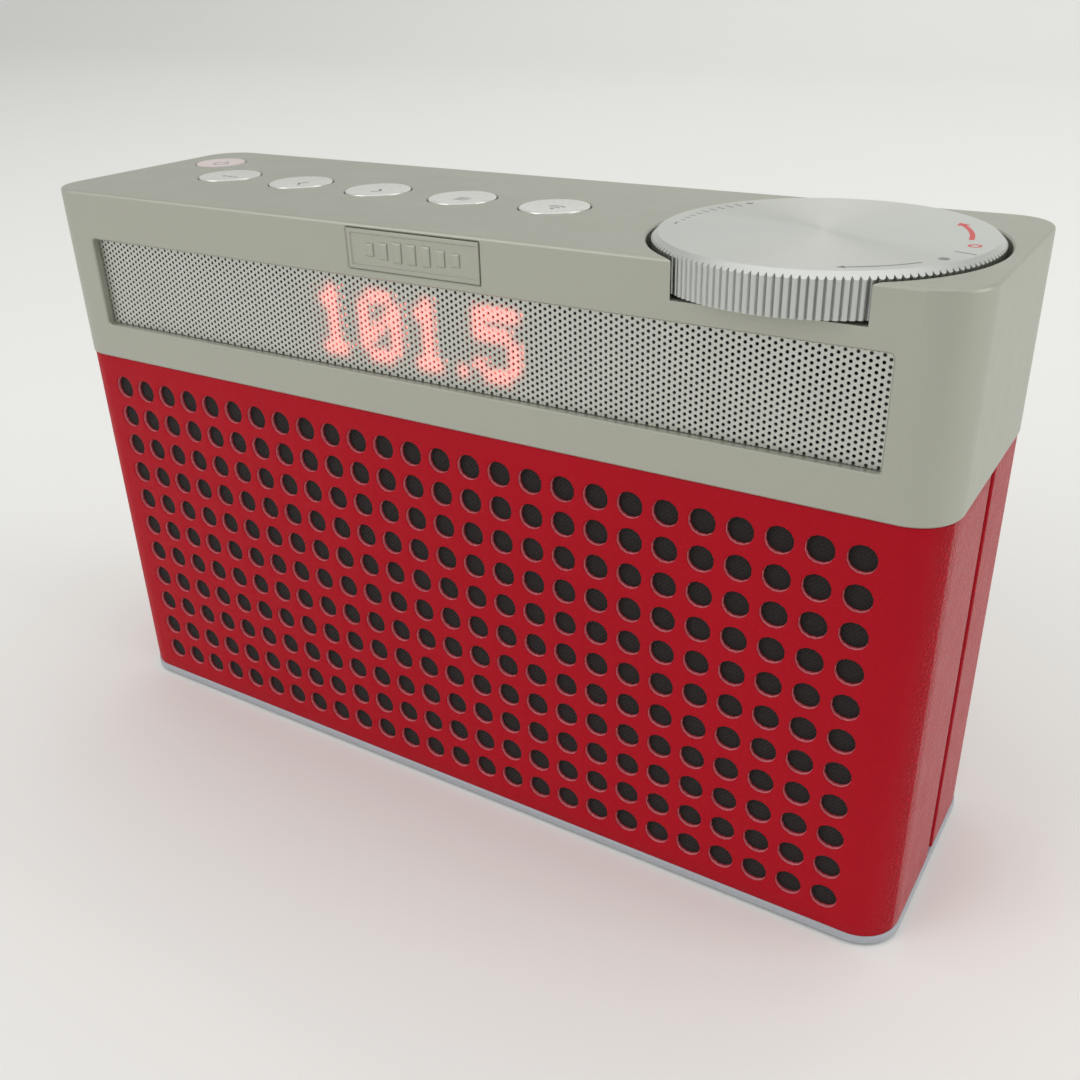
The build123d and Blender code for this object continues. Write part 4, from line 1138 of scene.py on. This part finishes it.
def makeKeys():
    signs = {
        "preset_key": presetSign, "previous_key": lambda x, y, z: skipSign(x, y, z, -1),
        "next_key": lambda x, y, z: skipSign(x, y, z, 1), "menu_key": menuSign, "wireless_key": airSign,
        "standby_key": standbySign,
    }
    for node, sign in signs.items():
        cap, x, y, top = makeCap(node)
        give(cap, node, standbyCap if node == "standby_key" else finishes["key_metal"])
        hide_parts(node)
        inlay = printed(cap.name.replace("Cap", "Sign"), sign(x, y, top + keys["signLift"]), node, darkInk,
                        keys["inkT"], cap)
        print("piece:", cap.name, "and", inlay.name)


makeKeys()


# volume dial

dial = dict(ribs=144, grooveDepth=0.46 * mm, shoulder=0.07 * mm, chamfer=1.0 * mm, sink=0.03 * mm,
            wall=1.6 * mm, inkT=0.02 * mm, edgeRing=0.25 * mm)


def ribPlace(vert, x, y):
    # which of a rib's five upright lines this vert stands on, 0 in the groove
    turn = (atan2(vert.co.y - y, vert.co.x - x) - pi / 2) / (2 * pi) * dial["ribs"] * 5
    return round(turn) % 5


def makeDial():
    low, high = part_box("dial_knob")
    x, y, _ = centreOf("dial_knob")
    radius, top = (high[0] - low[0]) / 2, high[2] - dial["sink"]
    nothingSelected()
    bpy.ops.mesh.primitive_cylinder_add(vertices=dial["ribs"] * 5, radius=radius, depth=top - low[2],
                                        end_fill_type="NOTHING", location=(x, y, (top + low[2]) / 2))
    knob = placed("volumeDial")
    face = radius - dial["chamfer"]
    levels = {0: radius - dial["grooveDepth"], 1: radius - dial["shoulder"], 2: radius, 3: radius,
              4: radius - dial["shoulder"]}
    editing(knob)
    for place, reach in levels.items():
        if place in (2, 3):
            continue
        pick("verts", lambda v: ribPlace(v, x, y) == place)
        stretch((x, y, top), reach / radius, reach / radius, 1)
    for place, reach in levels.items():
        pick("verts", lambda v: ribPlace(v, x, y) == place and near(v.co.z, top))
        slide(0, 0, -(reach - face))
    middleZ = (top + low[2]) / 2
    pick("edges", lambda e: all(v.co.z > middleZ for v in e.verts))
    bpy.ops.mesh.extrude_edges_move(TRANSFORM_OT_translate={"value": (0, 0, 0)})
    stretch((x, y, top), 1, 1, 0)
    for place, reach in levels.items():
        pick("verts", lambda v: ribPlace(v, x, y) == place and near(v.co.z, top))
        stretch((x, y, top), face / reach, face / reach, 1)
    pick("edges", lambda e: onLine(e, 2, top))
    bpy.ops.mesh.edge_face_add()
    bpy.ops.mesh.inset(thickness=dial["edgeRing"])
    bpy.ops.mesh.inset(thickness=face * 0.5)
    bpy.ops.mesh.poke()
    pick("edges", lambda e: onLine(e, 2, low[2]))
    bpy.ops.mesh.extrude_edges_move(TRANSFORM_OT_translate={"value": (0, 0, 0)})
    inward = (radius - dial["wall"]) / radius
    stretch((x, y, low[2]), inward, inward, 1)
    bpy.ops.mesh.extrude_edges_move(TRANSFORM_OT_translate={"value": (0, 0, top - low[2] - dial["wall"])})
    bpy.ops.mesh.edge_face_add()
    done()
    tidyMesh(knob, 0.000001)
    smooth(knob, 25)
    give(knob, "dial", finishes["dial_metal"])
    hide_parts("dial_knob")
    print("piece:", knob.name, len(knob.data.polygons), "faces")


dialMarks = dict(
    minusAt=192.5, plusAt=141.8, signR=22.8 * mm, signL=1.5 * mm, signW=0.34 * mm, tickFirst=186,
    tickLast=148, tickCount=9, tickR=22.4 * mm, redR=21.0 * mm, redW=0.75 * mm, redFrom=6, redTo=33,
    redHead=1.25 * mm, offAt=-3.5, offR=22.3 * mm, splitAt=-15.5, splitR=23.0 * mm, splitL=3.2 * mm,
    onAt=-27.5, arcR=22.9 * mm, arcW=0.34 * mm, arcFrom=-37, arcTo=-64, arcHead=0.8 * mm)


def makeDialMarks():
    x, y, _ = centreOf("dial_knob")
    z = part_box("dial_knob")[1][2] - dial["sink"] + 0.015 * mm
    one = dialMarks

    def at(angle, reach):
        return x + reach * cos(radians(angle)), y + reach * sin(radians(angle)), z

    grey = [markBar(*at(one["minusAt"], one["signR"]), one["signL"], one["signW"], one["minusAt"] + 90)]
    for turn in (0, 90):
        plus = at(one["plusAt"], one["signR"])
        grey.append(markBar(*plus, one["signL"], one["signW"], one["plusAt"] + turn))
    for tick in range(one["tickCount"]):
        share = tick / (one["tickCount"] - 1)
        angle = one["tickFirst"] + (one["tickLast"] - one["tickFirst"]) * share
        grey.append(markBar(*at(angle, one["tickR"]), (0.6 + 1.5 * share) * mm, one["signW"], angle))
    grey.append(markBar(*at(one["splitAt"], one["splitR"]), one["splitL"], one["signW"], one["splitAt"]))
    grey.append(markArc(*at(one["onAt"], one["splitR"]), 0.4 * mm, 0.75 * mm, 0, 360, 16))
    grey.append(markArc(x, y, z, one["arcR"], one["arcW"], one["arcFrom"], one["arcTo"]))
    grey.append(markHead(*at(one["arcTo"] - 1, one["arcR"]), one["arcHead"], one["arcTo"] - 90))
    red = [markArc(x, y, z, one["redR"], one["redW"], one["redFrom"], one["redTo"]),
           markHead(*at(one["redTo"] + 1.5, one["redR"]), one["redHead"], one["redTo"] + 90),
           markArc(*at(one["offAt"], one["offR"]), 0.8 * mm, 0.4 * mm, 0, 360, 20)]
    printed("dialMarksGrey", grey, "dial", greyInk, dial["inkT"])
    printed("dialMarksRed", red, "dial", redInk, dial["inkT"])
    print("piece: dial marks")


makeDial()
makeDialMarks()
